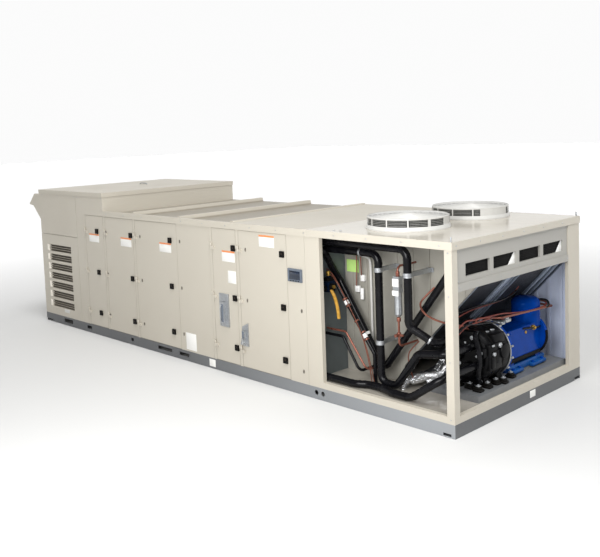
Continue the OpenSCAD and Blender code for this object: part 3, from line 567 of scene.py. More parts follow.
def turned(centre, outline):
    """Round piece about an upright axis, from its half outline of radius and height in mm."""
    deselect()
    line = bpy.data.curves.new("outline", "CURVE")
    line.dimensions = "3D"
    spline = line.splines.new("POLY")
    spline.points.add(len(outline) - 1)
    for knot, (radius, height) in zip(spline.points, outline):
        knot.co = (radius / 1000, 0, height / 1000, 1.0)
    piece = as_mesh(line, "outline")
    lathe = piece.modifiers.new("Lathe", "SCREW")
    lathe.steps = lathe.render_steps = 56
    lathe.use_merge_vertices = True
    bpy.ops.object.modifier_apply(modifier="Lathe")
    bpy.ops.object.mode_set(mode="EDIT")
    bpy.ops.mesh.select_all(action="SELECT")
    bpy.ops.mesh.remove_doubles(threshold=0.00002)
    bpy.ops.mesh.normals_make_consistent(inside=False)
    bpy.ops.object.mode_set(mode="OBJECT")
    piece.data.transform(Matrix.Translation(centre))
    return piece


def joined(parts):
    """Several parts as one piece."""
    activate(parts[0])
    for part in parts:
        part.select_set(True)
    if len(parts) > 1:
        bpy.ops.object.join()
    return bpy.context.object


def copied(piece, shifts):
    """The piece and copies of it, each with its own mesh, as a list."""
    made = [piece]
    for shift in shifts:
        twin = piece.copy()
        twin.data = piece.data.copy()
        twin.data.transform(Matrix.Translation(shift))
        bpy.context.collection.objects.link(twin)
        made.append(twin)
    return made


def settle(parts, name, finish, body="unit"):
    """Joins the parts of a piece, names and paints it, and hands it to the body that carries it."""
    piece = joined(parts)
    activate(piece)
    piece.name = piece.data.name = name
    piece.data.materials.clear()
    piece.data.materials.append(FINISH[finish])
    bpy.ops.object.shade_smooth_by_angle(angle=math.radians(35))
    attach(piece, body)


def sizes():
    """The sizes of the fittings."""
    return bpy.context.scene.air_handler_sizes


class AIRHANDLER_OT_finishes(bpy.types.Operator):
    """Paints the construction nodes"""

    bl_idname = "airhandler.finishes"
    bl_label = "Paint construction"

    def execute(self, context):
        FINISH.update(make_finishes())
        left = set(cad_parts)
        for finish, names in FINISH_OF_NODE.items():
            for name in names.split():
                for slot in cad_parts[name].material_slots:
                    slot.material = FINISH[finish]
                left.discard(name)
        if left:
            raise RuntimeError("no finish for " + ", ".join(sorted(left)))
        return {"FINISHED"}


class AIRHANDLER_OT_latches(bpy.types.Operator):
    """Fits a square black cover with a turn button over each door latch"""

    bl_idname = "airhandler.latches"
    bl_label = "Door latches"

    def execute(self, context):
        half = sizes().latch_face * 500
        proud = sizes().latch_proud * 1000
        z = LATCH_Z[0]
        rises = [Vector((0, 0, (level - z) / 1000)) for level in LATCH_Z[1:]]
        for door, x in LATCH_X.items():
            cover = slab(at(x - half, -proud, z - half), at(x + half, 0, z + half), 0.004)
            bpy.ops.object.mode_set(mode="EDIT")
            bpy.ops.mesh.select_all(action="DESELECT")
            bpy.ops.object.mode_set(mode="OBJECT")
            for face in cover.data.polygons:
                face.select = face.normal.y < -0.99
            bpy.ops.object.mode_set(mode="EDIT")
            bpy.ops.mesh.inset(thickness=0.009, depth=-0.002)
            bpy.ops.object.mode_set(mode="OBJECT")
            settle(copied(cover, rises), door + "_latch_covers", "black_abs", door)
            button = drum(at(x + 4, -proud + 3, z + 6), 0.010, 0.006, "Y", 0.0015)
            notch = slab(at(x + 2, -proud - 2, z - 3), at(x + 6, -proud + 1, z + 15), 0.0008)
            buttons = copied(joined([button, notch]), rises)
            settle(buttons, door + "_latch_buttons", "bronze", door)
        return {"FINISHED"}


class AIRHANDLER_OT_seals(bpy.types.Operator):
    """Fits a rubber seal round each door, just below the face"""

    bl_idname = "airhandler.seals"
    bl_label = "Door seals"

    def execute(self, context):
        gap, lip, low, high = 8, 6.5, 138, 1708
        near, deep = 2, 6
        for door, (x0, x1) in DOOR_SPAN.items():
            left, right = x0 + gap, x1 - gap
            spans = (
                (left - lip, low - lip, left, high + lip),
                (right, low - lip, right + lip, high + lip),
                (left, high, right, high + lip),
                (left, low - lip, right, low),
            )
            strips = [slab(at(xa, near, za), at(xb, deep, zb), 0.0008) for xa, za, xb, zb in spans]
            settle(strips, door + "_seal", "dim_cabinet_tint", door)
        return {"FINISHED"}


class AIRHANDLER_OT_louvre_jambs(bpy.types.Operator):
    """Lines the left jamb of each louvre slot with bright sheet as painted light, and edges the blades in a
    dimmed tint as painted shade
    """

    bl_idname = "airhandler.louvre_jambs"
    bl_label = "Louvre jambs and edges"

    def execute(self, context):
        first, pitch, slot, count = 255, 142.5, 100, 7
        levels = [first + i * pitch for i in range(count)]
        parts = []
        for low in levels:
            # Bright strips inside each left jamb and on the face beside it: painted light where the jamb
            # catches the light
            parts.append(slab(at(204, 1, low + 1), at(206, 48, low + slot - 1), 0.0006))
            parts.append(slab(at(170, -2.5, low + 3), at(206, 2, low + slot - 3), 0.001))
        settle(parts, "louvre_jamb_painted_light", "jamb_painted_light")
        # The blade edges take the seal's dimmed cabinet tint: painted shade on the cabinet coated blades
        edges = [
            slab(at(205, 8, low + rise), at(880, 11, low + rise + 8), 0.001)
            for low in levels
            for rise in (29, 62)
        ]
        settle(edges, "louvre_blade_edges", "dim_cabinet_tint")
        return {"FINISHED"}


class AIRHANDLER_OT_studs(bpy.types.Operator):
    """Fits the keeper studs beside the doors"""

    bl_idname = "airhandler.studs"
    bl_label = "Keeper studs"

    def execute(self, context):
        radius = sizes().stud_radius
        low, middle, high = 335, 916, 1498
        rows = (
            ("door_2_studs", "door_2", 1892, (low, middle, high)),
            ("door_3_studs", "door_3", 2729, (low, middle, high)),
            ("panel_studs", "unit", 3604, (low, middle, high)),
            ("door_5_studs", "door_5", 4849, (middle, high)),
            ("panel.001_studs", "unit", 5727, (261, 914)),
        )
        stretch = Matrix.Diagonal((0.8, 1, 1.5, 1))
        for name, body, x, levels in rows:
            parts = []
            for z in levels:
                middle_of_stud = at(x, 0, z)
                ring = hoop(at(x, -2, z), radius, 0.004, "Y", 24, 8)
                ring.data.transform(
                    Matrix.Translation(middle_of_stud) @ stretch @ Matrix.Translation(-middle_of_stud)
                )
                parts += [ring, drum(at(x, -4, z), radius * 0.6, 0.01, "Y", 0.0015, 16)]
            settle(parts, name, "stud", body)
        return {"FINISHED"}


class AIRHANDLER_OT_tags(bpy.types.Operator):
    """Fits the plain tags, with no words on them"""

    bl_idname = "airhandler.tags"
    bl_label = "Plain tags"

    def execute(self, context):
        deep = sizes().tag_depth * 1000
        stripe, edge = 20, 0.0006
        striped = {
            "door_1": (1434, 1694, 1340, 1456),
            "door_2": (2255, 2514, 1338, 1458),
            "door_3": (3164, 3414, 1338, 1458),
            "door_4": (4424, 4654, 1330, 1458),
            "door_5": (5084, 5331, 1553, 1684),
        }
        for door, (x0, x1, z0, z1) in striped.items():
            split = z1 - stripe
            film = slab(at(x0, -deep, z0), at(x1, 0, split), edge)
            settle([film], door + "_tag", "tag", door)
            band = slab(at(x0, -deep, split), at(x1, 0, z1), edge)
            settle([band], door + "_tag_stripe", "stripe", door)
        plain = (
            ("door_4_square_tag", "door_4", "tag", 4520, 4664, 1083, 1229),
            ("panel_tag", "unit", "tag", 3645, 3849, 152, 365),
            ("rail_tag", "unit", "tag", 4095, 4210, 24, 112),
            ("louvre_tag", "unit", "guard", 583, 736, 196, 248),
        )
        for name, body, finish, x0, x1, z0, z1 in plain:
            settle([slab(at(x0, -deep, z0), at(x1, 0, z1), edge)], name, finish, body)
        film = slab(at(END, 1290, 48), at(END + deep, 1395, 118), edge)
        settle([film], "end_rail_tag", "tag")
        return {"FINISHED"}


class AIRHANDLER_OT_display(bpy.types.Operator):
    """Fits the screen and keys of the control display"""

    bl_idname = "airhandler.display"
    bl_label = "Control display"

    def execute(self, context):
        low, high = (Vector(c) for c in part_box("display"))
        inset = Vector((0.024, 0, 0.024))
        front = Vector((low.x, low.y + 0.0025, low.z)) + inset
        back = Vector((high.x, low.y + 0.006, high.z)) - inset
        settle([slab(front, back, 0.001)], "display_screen", "screen")
        first, pitch, half, count = 0.046, 0.039, 0.011, 4
        keys = []
        for i in range(count):
            x = low.x + first + i * pitch
            front = Vector((x - half, low.y - 0.003, low.z + 0.006))
            back = Vector((x + half, low.y + 0.004, low.z + 0.016))
            keys.append(slab(front, back, 0.0015))
        settle(keys, "display_keys", "black_abs")
        return {"FINISHED"}


class AIRHANDLER_OT_disconnects(bpy.types.Operator):
    """Fits the grips, slots and screws of the disconnect plate and lever"""

    bl_idname = "airhandler.disconnects"
    bl_label = "Disconnect fittings"

    def execute(self, context):
        low, high = (Vector(c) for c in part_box("disconnect_plate"))
        mid, face = (low.x + high.x) / 2, low.y
        foot, top = low.z + 0.07, high.z - 0.13
        bends = (
            (0.004, foot), (-0.014, foot + 0.01), (-0.016, foot + 0.05),
            (-0.016, top - 0.05), (-0.014, top - 0.01), (0.004, top),
        )
        grip = [Vector((mid - 0.018, face + out, z)) for out, z in bends]
        settle([bent_rod(grip, 0.007)], "disconnect_grip", "zinc", "door_4")
        plate, margin = high.y - 0.012, 0.016
        screws = [
            drum(Vector((x, plate - 0.002, z)), 0.008, 0.006, "Y", 0.0015, 12)
            for x in (low.x + margin, high.x - margin)
            for z in (low.z + margin, high.z - margin)
        ]
        settle(screws, "disconnect_screws", "zinc", "door_4")
        # A grey plate on the slot: painted shade for its recess
        front = Vector((mid - 0.02, face - 0.0015, low.z + 0.06))
        back = Vector((mid + 0.02, face + 0.002, high.z - 0.12))
        settle([slab(front, back, 0.0015)], "disconnect_slot", "grey_abs_and_slot_shade", "door_4")
        low, high = (Vector(c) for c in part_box("disconnect_lever"))
        mid, face = (low.x + high.x) / 2, low.y
        # A grey plate on the lever's slot: painted shade for its recess
        front = Vector((mid - 0.017, face - 0.0015, low.z + 0.1))
        back = Vector((mid + 0.013, face + 0.002, low.z + 0.176))
        settle([slab(front, back, 0.001)], "lever_slot", "grey_abs_and_slot_shade", "door_5")
        front = Vector((mid - 0.014, face - 0.02, low.z + 0.046))
        back = Vector((mid + 0.01, face, low.z + 0.1))
        handle = slab(front, back, 0.005)
        knob = drum(Vector((mid - 0.004, face - 0.006, low.z + 0.044)), 0.02, 0.036, "Y", 0.006, 24)
        settle([handle, knob], "lever_handle", "zinc", "door_5")
        return {"FINISHED"}


class AIRHANDLER_OT_fan_wires(bpy.types.Operator):
    """Fits the fine wires and the nets of the two fan guards"""

    bl_idname = "airhandler.fan_wires"
    bl_label = "Fan guard wires"

    def execute(self, context):
        wire, pitch = sizes().wire_radius, sizes().wire_pitch * 1000
        crown, fall, radius = 142, 24, 80
        rings = []
        while radius < GUARD_RADIUS - 4:
            rise = crown - fall * (radius / GUARD_RADIUS) ** 2
            rings.append(hoop(at(FAN_X, FAN_Y[0], ROOF + rise + 2), radius / 1000, wire, "Z", 56, 5))
            radius += pitch
        sides = [
            hoop(at(FAN_X, FAN_Y[0], ROOF + level), 0.4135, wire, "Z", 64, 5) for level in (54, 70, 86, 102)
        ]
        apart = Vector((0, (FAN_Y[1] - FAN_Y[0]) / 1000, 0))
        for label, finish, wires in (("fan_wires", "guard", rings), ("fan_side_wires", "grey_wire", sides)):
            front, rear = copied(joined(wires), [apart])
            settle([front], label + "_front", finish)
            settle([rear], label + "_rear", finish)
        bar_edge, half = 11.8, 3.8
        for name, y in zip(("front", "rear"), FAN_Y):
            net = [collar(at(FAN_X, y, ROOF + 40), at(FAN_X, y, ROOF + 112), 0.4035, 0.4055, 64)]
            # Dark edges on the window bars, so that only the middle of a bar is white
            for turn in range(68, 338, 30):
                placed = Matrix.Translation(at(FAN_X, y, ROOF)) @ Matrix.Rotation(math.radians(turn), 4, "Z")
                for side in (-bar_edge, bar_edge):
                    strip = slab(mm(419.5, side - half, 43), mm(420.8, side + half, 111), 0.0003)
                    strip.data.transform(placed)
                    net.append(strip)
            settle(net, "fan_net_" + name, "mesh")
        return {"FINISHED"}


class AIRHANDLER_OT_screws(bpy.types.Operator):
    """Fits the sheet screws along the roof edge, the header, the sills and the raised box"""

    bl_idname = "airhandler.screws"
    bl_label = "Sheet screws"

    def execute(self, context):
        radius = sizes().screw_radius
        roof_edge, raised_edge = 1752, 1960
        spots = [((x, -9, roof_edge), "Y") for x in range(1930, END, 430)]
        spots += [((END + 9, y, roof_edge), "X") for y in range(60, 2340, 380)]
        spots += [((7638.5, y, z), "X") for y in (110, 1150, 2075) for z in (1420, 1690)]
        spots += [((END + 0.5, y, 1365), "X") for y in (110, 800, 1500, 2075)]
        spots += [((7608, -0.5, z), "Y") for z in (170, 700, 1300, 1690)]
        spots += [((x, -0.5, raised_edge), "Y") for x in (60, 560, 1040, 1140, 1790)]
        parts = [drum(at(*place), radius, 0.005, axis, 0.0015, 12) for place, axis in spots]
        settle(parts, "sheet_screws", "zinc")
        return {"FINISHED"}


class AIRHANDLER_OT_rear_ribs(bpy.types.Operator):
    """Presses upright ribs into the inner face of the rear wall of the condensing section"""

    bl_idname = "airhandler.rear_ribs"
    bl_label = "Rear wall ribs"

    def execute(self, context):
        wide = sizes().rib_width * 1000
        panel = slab(at(5853, 2287.5, 196), at(7608, 2290, 1714), 0.001)
        ribs = [slab(at(x, 2272, 200), at(x + wide, 2289, 1700), 0.006) for x in range(6690, 7560, 150)]
        settle([panel] + ribs, "inner_rear_lining", "rear_lining")
        return {"FINISHED"}


def around_axis(y, radius, degrees):
    """Places on a circle about the compressor's axis."""
    turns = [math.radians(d) for d in degrees]
    return [at(COMPRESSOR_X + radius * math.cos(a), y, COMPRESSOR_Z + radius * math.sin(a)) for a in turns]


class AIRHANDLER_OT_compressor_jacket(bpy.types.Operator):
    """Fits the ring, bolts, covers, straps, caps, hose and feet of the compressor's jacketed end"""

    bl_idname = "airhandler.compressor_jacket"
    bl_label = "Compressor jacket"

    def execute(self, context):
        bolt = sizes().bolt_radius
        x, z = COMPRESSOR_X, COMPRESSOR_Z
        ring = collar(at(x, 1058, z), at(x, 1072, z), 0.270, 0.2815, 64)
        settle([ring], "compressor_flange_ring", "zinc")
        heads = [nut(place, bolt, 0.014, "Y") for place in around_axis(662, 148, range(10, 370, 36))]
        heads += [nut(place, bolt, 0.03, "Y") for place in around_axis(1090, 281, range(-60, 110, 24))]
        settle(heads, "compressor_cover_bolts", "zinc")
        # Stiff black covers over the jacket
        lumps = [
            slab(at(x - 60, 655, z + 150), at(x + 120, 760, z + 262), 0.012),
            slab(at(x + 150, 716, z - 120), at(x + 262, 930, z + 142), 0.012),
            slab(at(x + 160, 650, z + 26), at(x + 240, 722, z + 114), 0.008),
            slab(at(x + 246, 738, z - 96), at(x + 274, 800, z + 20), 0.006),
            slab(at(x + 246, 826, z - 60), at(x + 270, 906, z + 70), 0.006),
            slab(at(x + 120, 820, z + 120), at(x + 250, 1010, z + 225), 0.018),
            slab(at(x - 240, 670, z - 210), at(x - 120, 800, z - 60), 0.016),
            drum(at(x + 60, 650, z - 110), 0.07, 0.05, "Y", 0.008, 28),
            drum(at(x - 90, 650, z + 30), 0.085, 0.05, "Y", 0.008, 28),
            drum(at(x + 268, 960, z + 40), 0.075, 0.04, "X", 0.008, 28),
        ]
        settle(lumps, "compressor_jacket_covers", "jacket")
        straps = [collar(at(x, y, z), at(x, y + 24, z), 0.2695, 0.2745, 64) for y in (800, 930)]
        settle(straps, "compressor_jacket_straps", "black_abs")
        caps = [
            nut(at(7566, 892, 664), 0.028, 0.02, "X"),
            nut(at(7435, 950, 785), 0.026, 0.02),
            nut(at(7405, 650, 761), 0.022, 0.018, "Y"),
            nut(at(7503, 644, 624), 0.024, 0.02, "Y"),
            nut(at(7261, 620, 610), 0.022, 0.018, "Y"),
            nut(at(7251, 661, 485), 0.02, 0.018, "Y"),
            slab(at(7560, 752, 672), at(7572, 792, 690), 0.003),
            drum(at(7578, 770, 600), 0.02, 0.02, "X", 0.004, 20),
            slab(at(7396, 842, 774), at(7452, 880, 792), 0.004),
        ]
        settle(caps, "compressor_jacket_caps", "zinc")
        hose = tube(0.025, (
            (7420, 690, 800), (7440, 640, 790), (7490, 622, 700), (7515, 622, 560), (7490, 622, 440),
            (7470, 650, 360), (7465, 690, 330),
        ))
        settle([hose], "compressor_front_hose", "foam")
        spots = ((7496, 610), (7380, 640), (7500, 760), (7500, 905), (7535, 985), (7495, 1186), (7240, 650))
        pads, nuts = [], []
        for px, py in spots:
            pads.append(slab(at(px - 48, py - 38, 257), at(px + 48, py + 38, 284), 0.01))
            pads.append(slab(at(px - 34, py - 28, 280), at(px + 34, py + 28, 306), 0.009))
            nuts.append(slab(at(px - 19, py - 19, 305), at(px + 19, py + 19, 319), 0.003))
            nuts.append(drum(at(px, py, 322), 0.010, 0.012, "Z", 0.002, 12))
        settle(pads, "compressor_rubber_feet", "black_abs")
        settle(nuts, "compressor_feet_nuts", "zinc")
        return {"FINISHED"}


class AIRHANDLER_OT_compressor_blue(bpy.types.Operator):
    """Fits the black bands and painted shadow strips, the plugs, valve, bolts, head, feet and cover of the
    compressor's blue end
    """

    bl_idname = "airhandler.compressor_blue"
    bl_label = "Compressor blue end"

    def execute(self, context):
        bolt = sizes().bolt_radius
        # The black band under the head and the black strip under the blue block are painted shadow at the
        # seams
        bands_and_shadows = [
            collar(at(HEAD_X, HEAD_Y, 640), at(HEAD_X, HEAD_Y, 658), 0.1405, 0.1535, 56),
            slab(at(7449, 1232, 370), at(7460, 1842, 410), 0.003),
            bent_rod(around_axis(1866, 222, range(-75, 30, 15)), 0.014),
        ]
        settle(bands_and_shadows, "compressor_blue_bands_and_shadows", "black_abs")
        plugs = [
            drum(at(7462, 1690, 668), 0.026, 0.03, "X", 0.004, 24),
            nut(at(7484, 1690, 668), 0.019, 0.018, "X"),
            drum(at(7452, 1560, 640), 0.016, 0.012, "X", 0.002, 16),
        ]
        settle(plugs, "compressor_brass_plugs", "brass")
        valve = [
            slab(at(7430, 1150, 820), at(7480, 1240, 852), 0.006),
            nut(at(7455, 1195, 858), 0.022, 0.02),
            slab(at(7400, 1120, 800), at(7450, 1180, 834), 0.005),
            slab(at(7340, 1110, 790), at(7420, 1160, 830), 0.005),
        ]
        settle(valve, "compressor_service_valve", "zinc")
        bolts = [nut(at(7472, y, 312), bolt * 1.3, 0.016) for y in (1279, 1400, 1660, 1840)]
        bolts += [nut(at(7456, y, z), bolt * 0.8, 0.012, "X") for y in (1260, 1815) for z in (440, 680)]
        settle(bolts, "compressor_foot_bolts", "enamel")
        dome = turned(at(HEAD_X, HEAD_Y, 0), (
            (0, 973), (60, 970), (95, 963), (118, 952), (134, 937), (145, 922), (151, 906), (151, 850),
            (149.5, 848), (149.5, 842), (151, 840), (151, 659), (141, 656), (0, 656),
        ))
        settle([dome], "compressor_blue_head", "enamel")
        # The skirt and the feet in a lighter blue: painted light where they face up
        feet = [
            slab(at(7132, 1230, 269), at(7456, 1930, 345), 0.014),
            slab(at(7430, 1240, 269), at(7502, 1440, 306), 0.01),
            slab(at(7430, 1610, 269), at(7502, 1890, 306), 0.01),
        ]
        settle(feet, "compressor_blue_feet", "lit_enamel")
        cover = [drum(at(7320, 1918, 554), 0.14, 0.03, "Y", 0.006, 40)]
        cover += [nut(place, bolt, 0.02, "Y") for place in around_axis(1900, 190, range(0, 360, 40))]
        settle(cover, "compressor_end_cover", "enamel")
        return {"FINISHED"}


class AIRHANDLER_OT_compressor_lines(bpy.types.Operator):
    """Fits the red and the black lines over the compressor"""

    bl_idname = "airhandler.compressor_lines"
    bl_label = "Compressor lines"

    def execute(self, context):
        red = [
            tube(0.006, (
                (7300, 586, 960), (7300, 700, 985), (7300, 900, 992), (7300, 1180, 990), (7310, 1420, 1000),
                (7340, 1560, 1060), (7350, 1600, 1105),
            )),
            tube(0.007, (
                (7490, 250, 900), (7490, 400, 985), (7480, 560, 960), (7480, 800, 945), (7480, 1053, 935),
                (7478, 1237, 905), (7474, 1480, 872), (7474, 1700, 858), (7490, 1900, 864), (7460, 1985, 885),
                (7380, 1985, 895), (7340, 1950, 895),
            )),
            tube(0.006, (
                (7470, 330, 860), (7480, 450, 930), (7480, 620, 925), (7470, 860, 915), (7440, 1060, 900),
                (7440, 1150, 850),
            )),
        ]
        settle(red, "compressor_red_lines", "red_sleeve")
        black = [
            tube(0.008, (
                (7300, 586, 1000), (7300, 760, 1012), (7300, 1000, 1008), (7320, 1300, 1002),
                (7345, 1500, 1030), (7352, 1560, 1072),
            )),
            # Hose that leaves the head and comes back to it
            tube(0.013, (
                (7420, 1868, 926), (7452, 1888, 934), (7500, 1916, 922), (7518, 1927, 884), (7494, 1912, 850),
                (7440, 1880, 836), (7425, 1870, 832),
            )),
            # Cable along the seam under the head
            tube(0.011, (
                (7452, 1500, 688), (7464, 1560, 684), (7470, 1640, 672), (7470, 1720, 660), (7468, 1800, 652),
                (7452, 1846, 650),
            )),
            tube(0.009, (
                (7485, 300, 880), (7490, 420, 955), (7470, 640, 900), (7460, 860, 880), (7450, 1040, 840),
                (7430, 1110, 800),
            )),
        ]
        settle(black, "compressor_black_lines", "foam")
        return {"FINISHED"}


class AIRHANDLER_OT_coil_bars(bpy.types.Operator):
    """Fits the galvanised bars across the underside of the sloping coil"""

    bl_idname = "airhandler.coil_bars"
    bl_label = "Coil bars"

    def execute(self, context):
        rise_per_run, long, deep = 1.0515, 740, 26
        slope = Matrix.Rotation(-math.atan(rise_per_run), 4, "Y")
        bars = []
        for y0, y1 in ((1084, 1162), (1926, 1976), (2068, 2118)):
            bar = slab(mm(0, y0, -deep), mm(long, y1, 0), 0.004)
            bar.data.transform(Matrix.Translation(at(7080, 0, 842.5)) @ slope)
            bars.append(bar)
        settle(bars, "coil_underside_bars", "coil_frame")
        return {"FINISHED"}


class AIRHANDLER_OT_bay_fittings(bpy.types.Operator):
    """Fits the card, wire tube, blocks, sleeves, ties and bands of the piping bay"""

    bl_idname = "airhandler.bay_fittings"
    bl_label = "Piping bay fittings"

    def execute(self, context):
        card = slab(at(5885, 549, 1276), at(6056, 551.5, 1410), 0.0006)
        settle([card], "bay_green_card", "note")
        wires = tube(0.013, (
            (6090, 534, 1470), (6170, 534, 1468), (6232, 534, 1440), (6240, 534, 1370), (6240, 534, 900),
            (6240, 534, 540),
        ))
        settle([wires], "bay_wire_tube", "guard")
        blocks = [
            slab(at(6102, 520, 1195), at(6153, 552, 1264), 0.004),
            slab(at(6020, 520, 1072), at(6083, 552, 1139), 0.004),
            drum(at(6115, 530, 1060), 0.022, 0.12, "Z", 0.004, 20),
            slab(at(6775, 228, 1262), at(6853, 240, 1340), 0.003),
            slab(at(6772, 226, 1170), at(6850, 242, 1222), 0.003),
        ]
        settle(blocks, "bay_white_blocks", "white_nylon")
        # Sleeves and ties sit at shares of the two sloping tubes
        thick, thick_foot = at(5896, 420, 1210), at(6485, 420, 330)
        thick_run = thick_foot - thick
        thin, thin_foot = at(5896, 330, 1230), at(6440, 330, 500)
        run = thin_foot - thin
        sleeves = [collar(thick + thick_run * 0.6, thick + thick_run * 0.63, 0.0372, 0.0405)]
        sleeves += [collar(thin + run * t, thin + run * (t + 0.05), 0.0212, 0.026) for t in (0.3, 0.74)]
        settle(sleeves, "bay_tube_sleeves", "white_nylon")
        shares = (0.27, 0.36, 0.56, 0.71, 0.8)
        ties = [collar(thin + run * t, thin + run * (t + 0.018), 0.0214, 0.029) for t in shares]
        settle(ties, "bay_copper_ties", "copper")
        bands = [
            collar(at(6330, 270, 1560), at(6352, 270, 1560), 0.0402, 0.0445),
            collar(at(7180, 272.5, 784), at(7194, 279, 775), 0.0402, 0.0465),
        ]
        settle(bands, "bay_pipe_bands", "zinc")
        return {"FINISHED"}


class AIRHANDLER_OT_bay_valve(bpy.types.Operator):
    """Fits the brass, the riser, the caps and the yellow sleeve round the bay's valve"""

    bl_idname = "airhandler.bay_valve"
    bl_label = "Piping bay valve"

    def execute(self, context):
        brass = [
            drum(at(5896, 243, 1300), 0.023, 0.05, "Z", 0.004, 24),
            nut(at(5975, 236, 1165), 0.02, 0.03, "X"),
        ]
        settle(brass, "bay_valve_brass", "brass")
        riser = tube(0.037, (
            (5905, 420, 1198), (5892, 410, 1225), (5889, 360, 1295), (5889, 280, 1415), (5889, 205, 1530),
            (5878, 182, 1560), (5851, 176, 1568),
        ))
        settle([riser], "bay_vee_riser", "foam")
        caps = [
            slab(at(5862, 194, 1216), at(5934, 292, 1258), 0.008),
            drum(at(5945, 236, 1165), 0.034, 0.05, "X", 0.006, 28),
            drum(at(5900, 180, 1150), 0.03, 0.03, "Y", 0.005, 24),
        ]
        settle(caps, "bay_valve_caps", "black_abs")
        sleeve = tube(0.018, (
            (5938, 236, 1125), (5980, 236, 1080), (6010, 240, 990), (6024, 245, 900), (6026, 250, 830),
        ))
        settle([sleeve], "bay_yellow_sleeve", "yellow_hose")
        return {"FINISHED"}


class AIRHANDLER_OT_bay_lines(bpy.types.Operator):
    """Fits the thin copper lines and the tees of the piping bay"""

    bl_idname = "airhandler.bay_lines"
    bl_label = "Piping bay lines"

    def execute(self, context):
        lines = [
            tube(0.005, (
                (5851, 262, 1345), (5925, 266, 1325), (6080, 280, 1080), (6300, 285, 730), (6390, 280, 470),
                (6428, 275, 300), (6440, 275, 196),
            )),
            tube(0.0045, (
                (5851, 276, 1300), (5930, 282, 1280), (6120, 294, 1000), (6330, 292, 660), (6410, 288, 420),
                (6450, 284, 280), (6470, 280, 196),
            )),
            tube(0.010, (
                (7143, 425, 1262), (7040, 370, 1150), (7010, 350, 1085), (7070, 350, 1000), (7208, 380, 945),
                (7320, 500, 900), (7330, 640, 870), (7320, 720, 815),
            )),
            tube(0.006, (
                (6962, 395, 709), (6900, 370, 640), (6844, 360, 565), (6830, 400, 420), (6835, 450, 300),
            )),
            tube(0.006, ((6120, 515, 1490), (6115, 515, 1390), (6125, 515, 1260))),
            tube(0.006, ((6060, 515, 1500), (6060, 515, 1300), (6050, 515, 1140))),
        ]
        settle(lines, "bay_thin_lines", "copper")
        tees = [
            drum(at(6814, 270, 775), 0.02, 0.05, "Z", 0.003, 20),
            nut(at(6814, 235, 775), 0.018, 0.05, "Y"),
            drum(at(6814, 270, 1385), 0.02, 0.05, "Z", 0.003, 20),
            nut(at(6814, 270, 930), 0.022, 0.04),
            nut(at(6845, 270, 775), 0.014, 0.04, "X"),
        ]
        settle(tees, "bay_copper_tees", "copper")
        return {"FINISHED"}


class AIRHANDLER_OT_foil(bpy.types.Operator):
    """Wraps the discharge pipe in crumpled foil"""

    bl_idname = "airhandler.foil"
    bl_label = "Foil wrap"

    def execute(self, context):
        crumple = bpy.data.textures.new("crumple", "CLOUDS")
        crumple.noise_scale = 0.06
        runs = (
            (
                (6762, 380, 240), (6768, 400, 268), (6790, 560, 268), (6818, 780, 268), (6840, 900, 330),
                (6860, 955, 378), (6975, 960, 380),
            ),
            ((6930, 560, 262), (6985, 590, 290), (7040, 640, 350), (7085, 690, 430)),
            ((6800, 470, 262), (6880, 500, 300), (6950, 560, 330), (7030, 600, 330)),
        )
        parts = []
        for run in runs:
            part = tube(0.045, run)
            fine = part.modifiers.new("Fine", "SUBSURF")
            fine.levels = fine.render_levels = 1
            fold = part.modifiers.new("Fold", "DISPLACE")
            fold.texture = crumple
            fold.strength = 0.03
            fold.mid_level = 0.45
            for modifier in ("Fine", "Fold"):
                bpy.ops.object.modifier_apply(modifier=modifier)
            parts.append(part)
        settle(parts, "foil_wrap", "foil")
        return {"FINISHED"}


class AIRHANDLER_OT_roof_fittings(bpy.types.Operator):
    """Fits the lid handle and the roof pins"""

    bl_idname = "airhandler.roof_fittings"
    bl_label = "Roof fittings"

    def execute(self, context):
        handle = tube(0.008, (
            (747, 1340, 2040), (750, 1340, 2054), (790, 1340, 2060), (900, 1340, 2060), (940, 1340, 2054),
            (944, 1340, 2040),
        ))
        pins = [drum(at(7630, y, 1810), 0.007, 0.05, "Z", 0.002, 12) for y in (20, 2320)]
        pins += [drum(at(x, y, 1792), 0.012, 0.006, "Z", 0.002, 16) for x, y in ((6150, 83), (6237, 91))]
        settle([handle] + pins, "roof_handle_and_pins", "zinc")
        return {"FINISHED"}


class AIRHANDLER_OT_header_windows(bpy.types.Operator):
    """Fits the gussets and the nets behind the windows of the header"""

    bl_idname = "airhandler.header_windows"
    bl_label = "Header windows"

    def execute(self, context):
        low, high, tip = 1450, 1570, 12
        gussets = []
        for y0, y1 in ((960, 1086), (1880, 2004)):
            plate = slab(at(7618, y0, low), at(7622, y1, high), 0.0008)
            half_up, half_across = at(0, 0, (low + high) / 2).z, at(0, (y0 + y1) / 2, 0).y
            for corner in plate.data.vertices:
                if corner.co.z > half_up and corner.co.y < half_across:
                    corner.co.y += (y1 - y0 - tip) / 1000
            gussets.append(plate)
        settle(gussets, "header_gussets", "white_nylon")
        # Near black nets in the windows: a net, and painted shade for the inside behind it
        nets = [
            slab(at(7611, y + 0.5, low + 0.5), at(7613, y + 399.5, high - 0.5), 0.0005)
            for y in (224, 683, 1142, 1601)
        ]
        settle(nets, "header_nets", "dark_mesh")
        return {"FINISHED"}


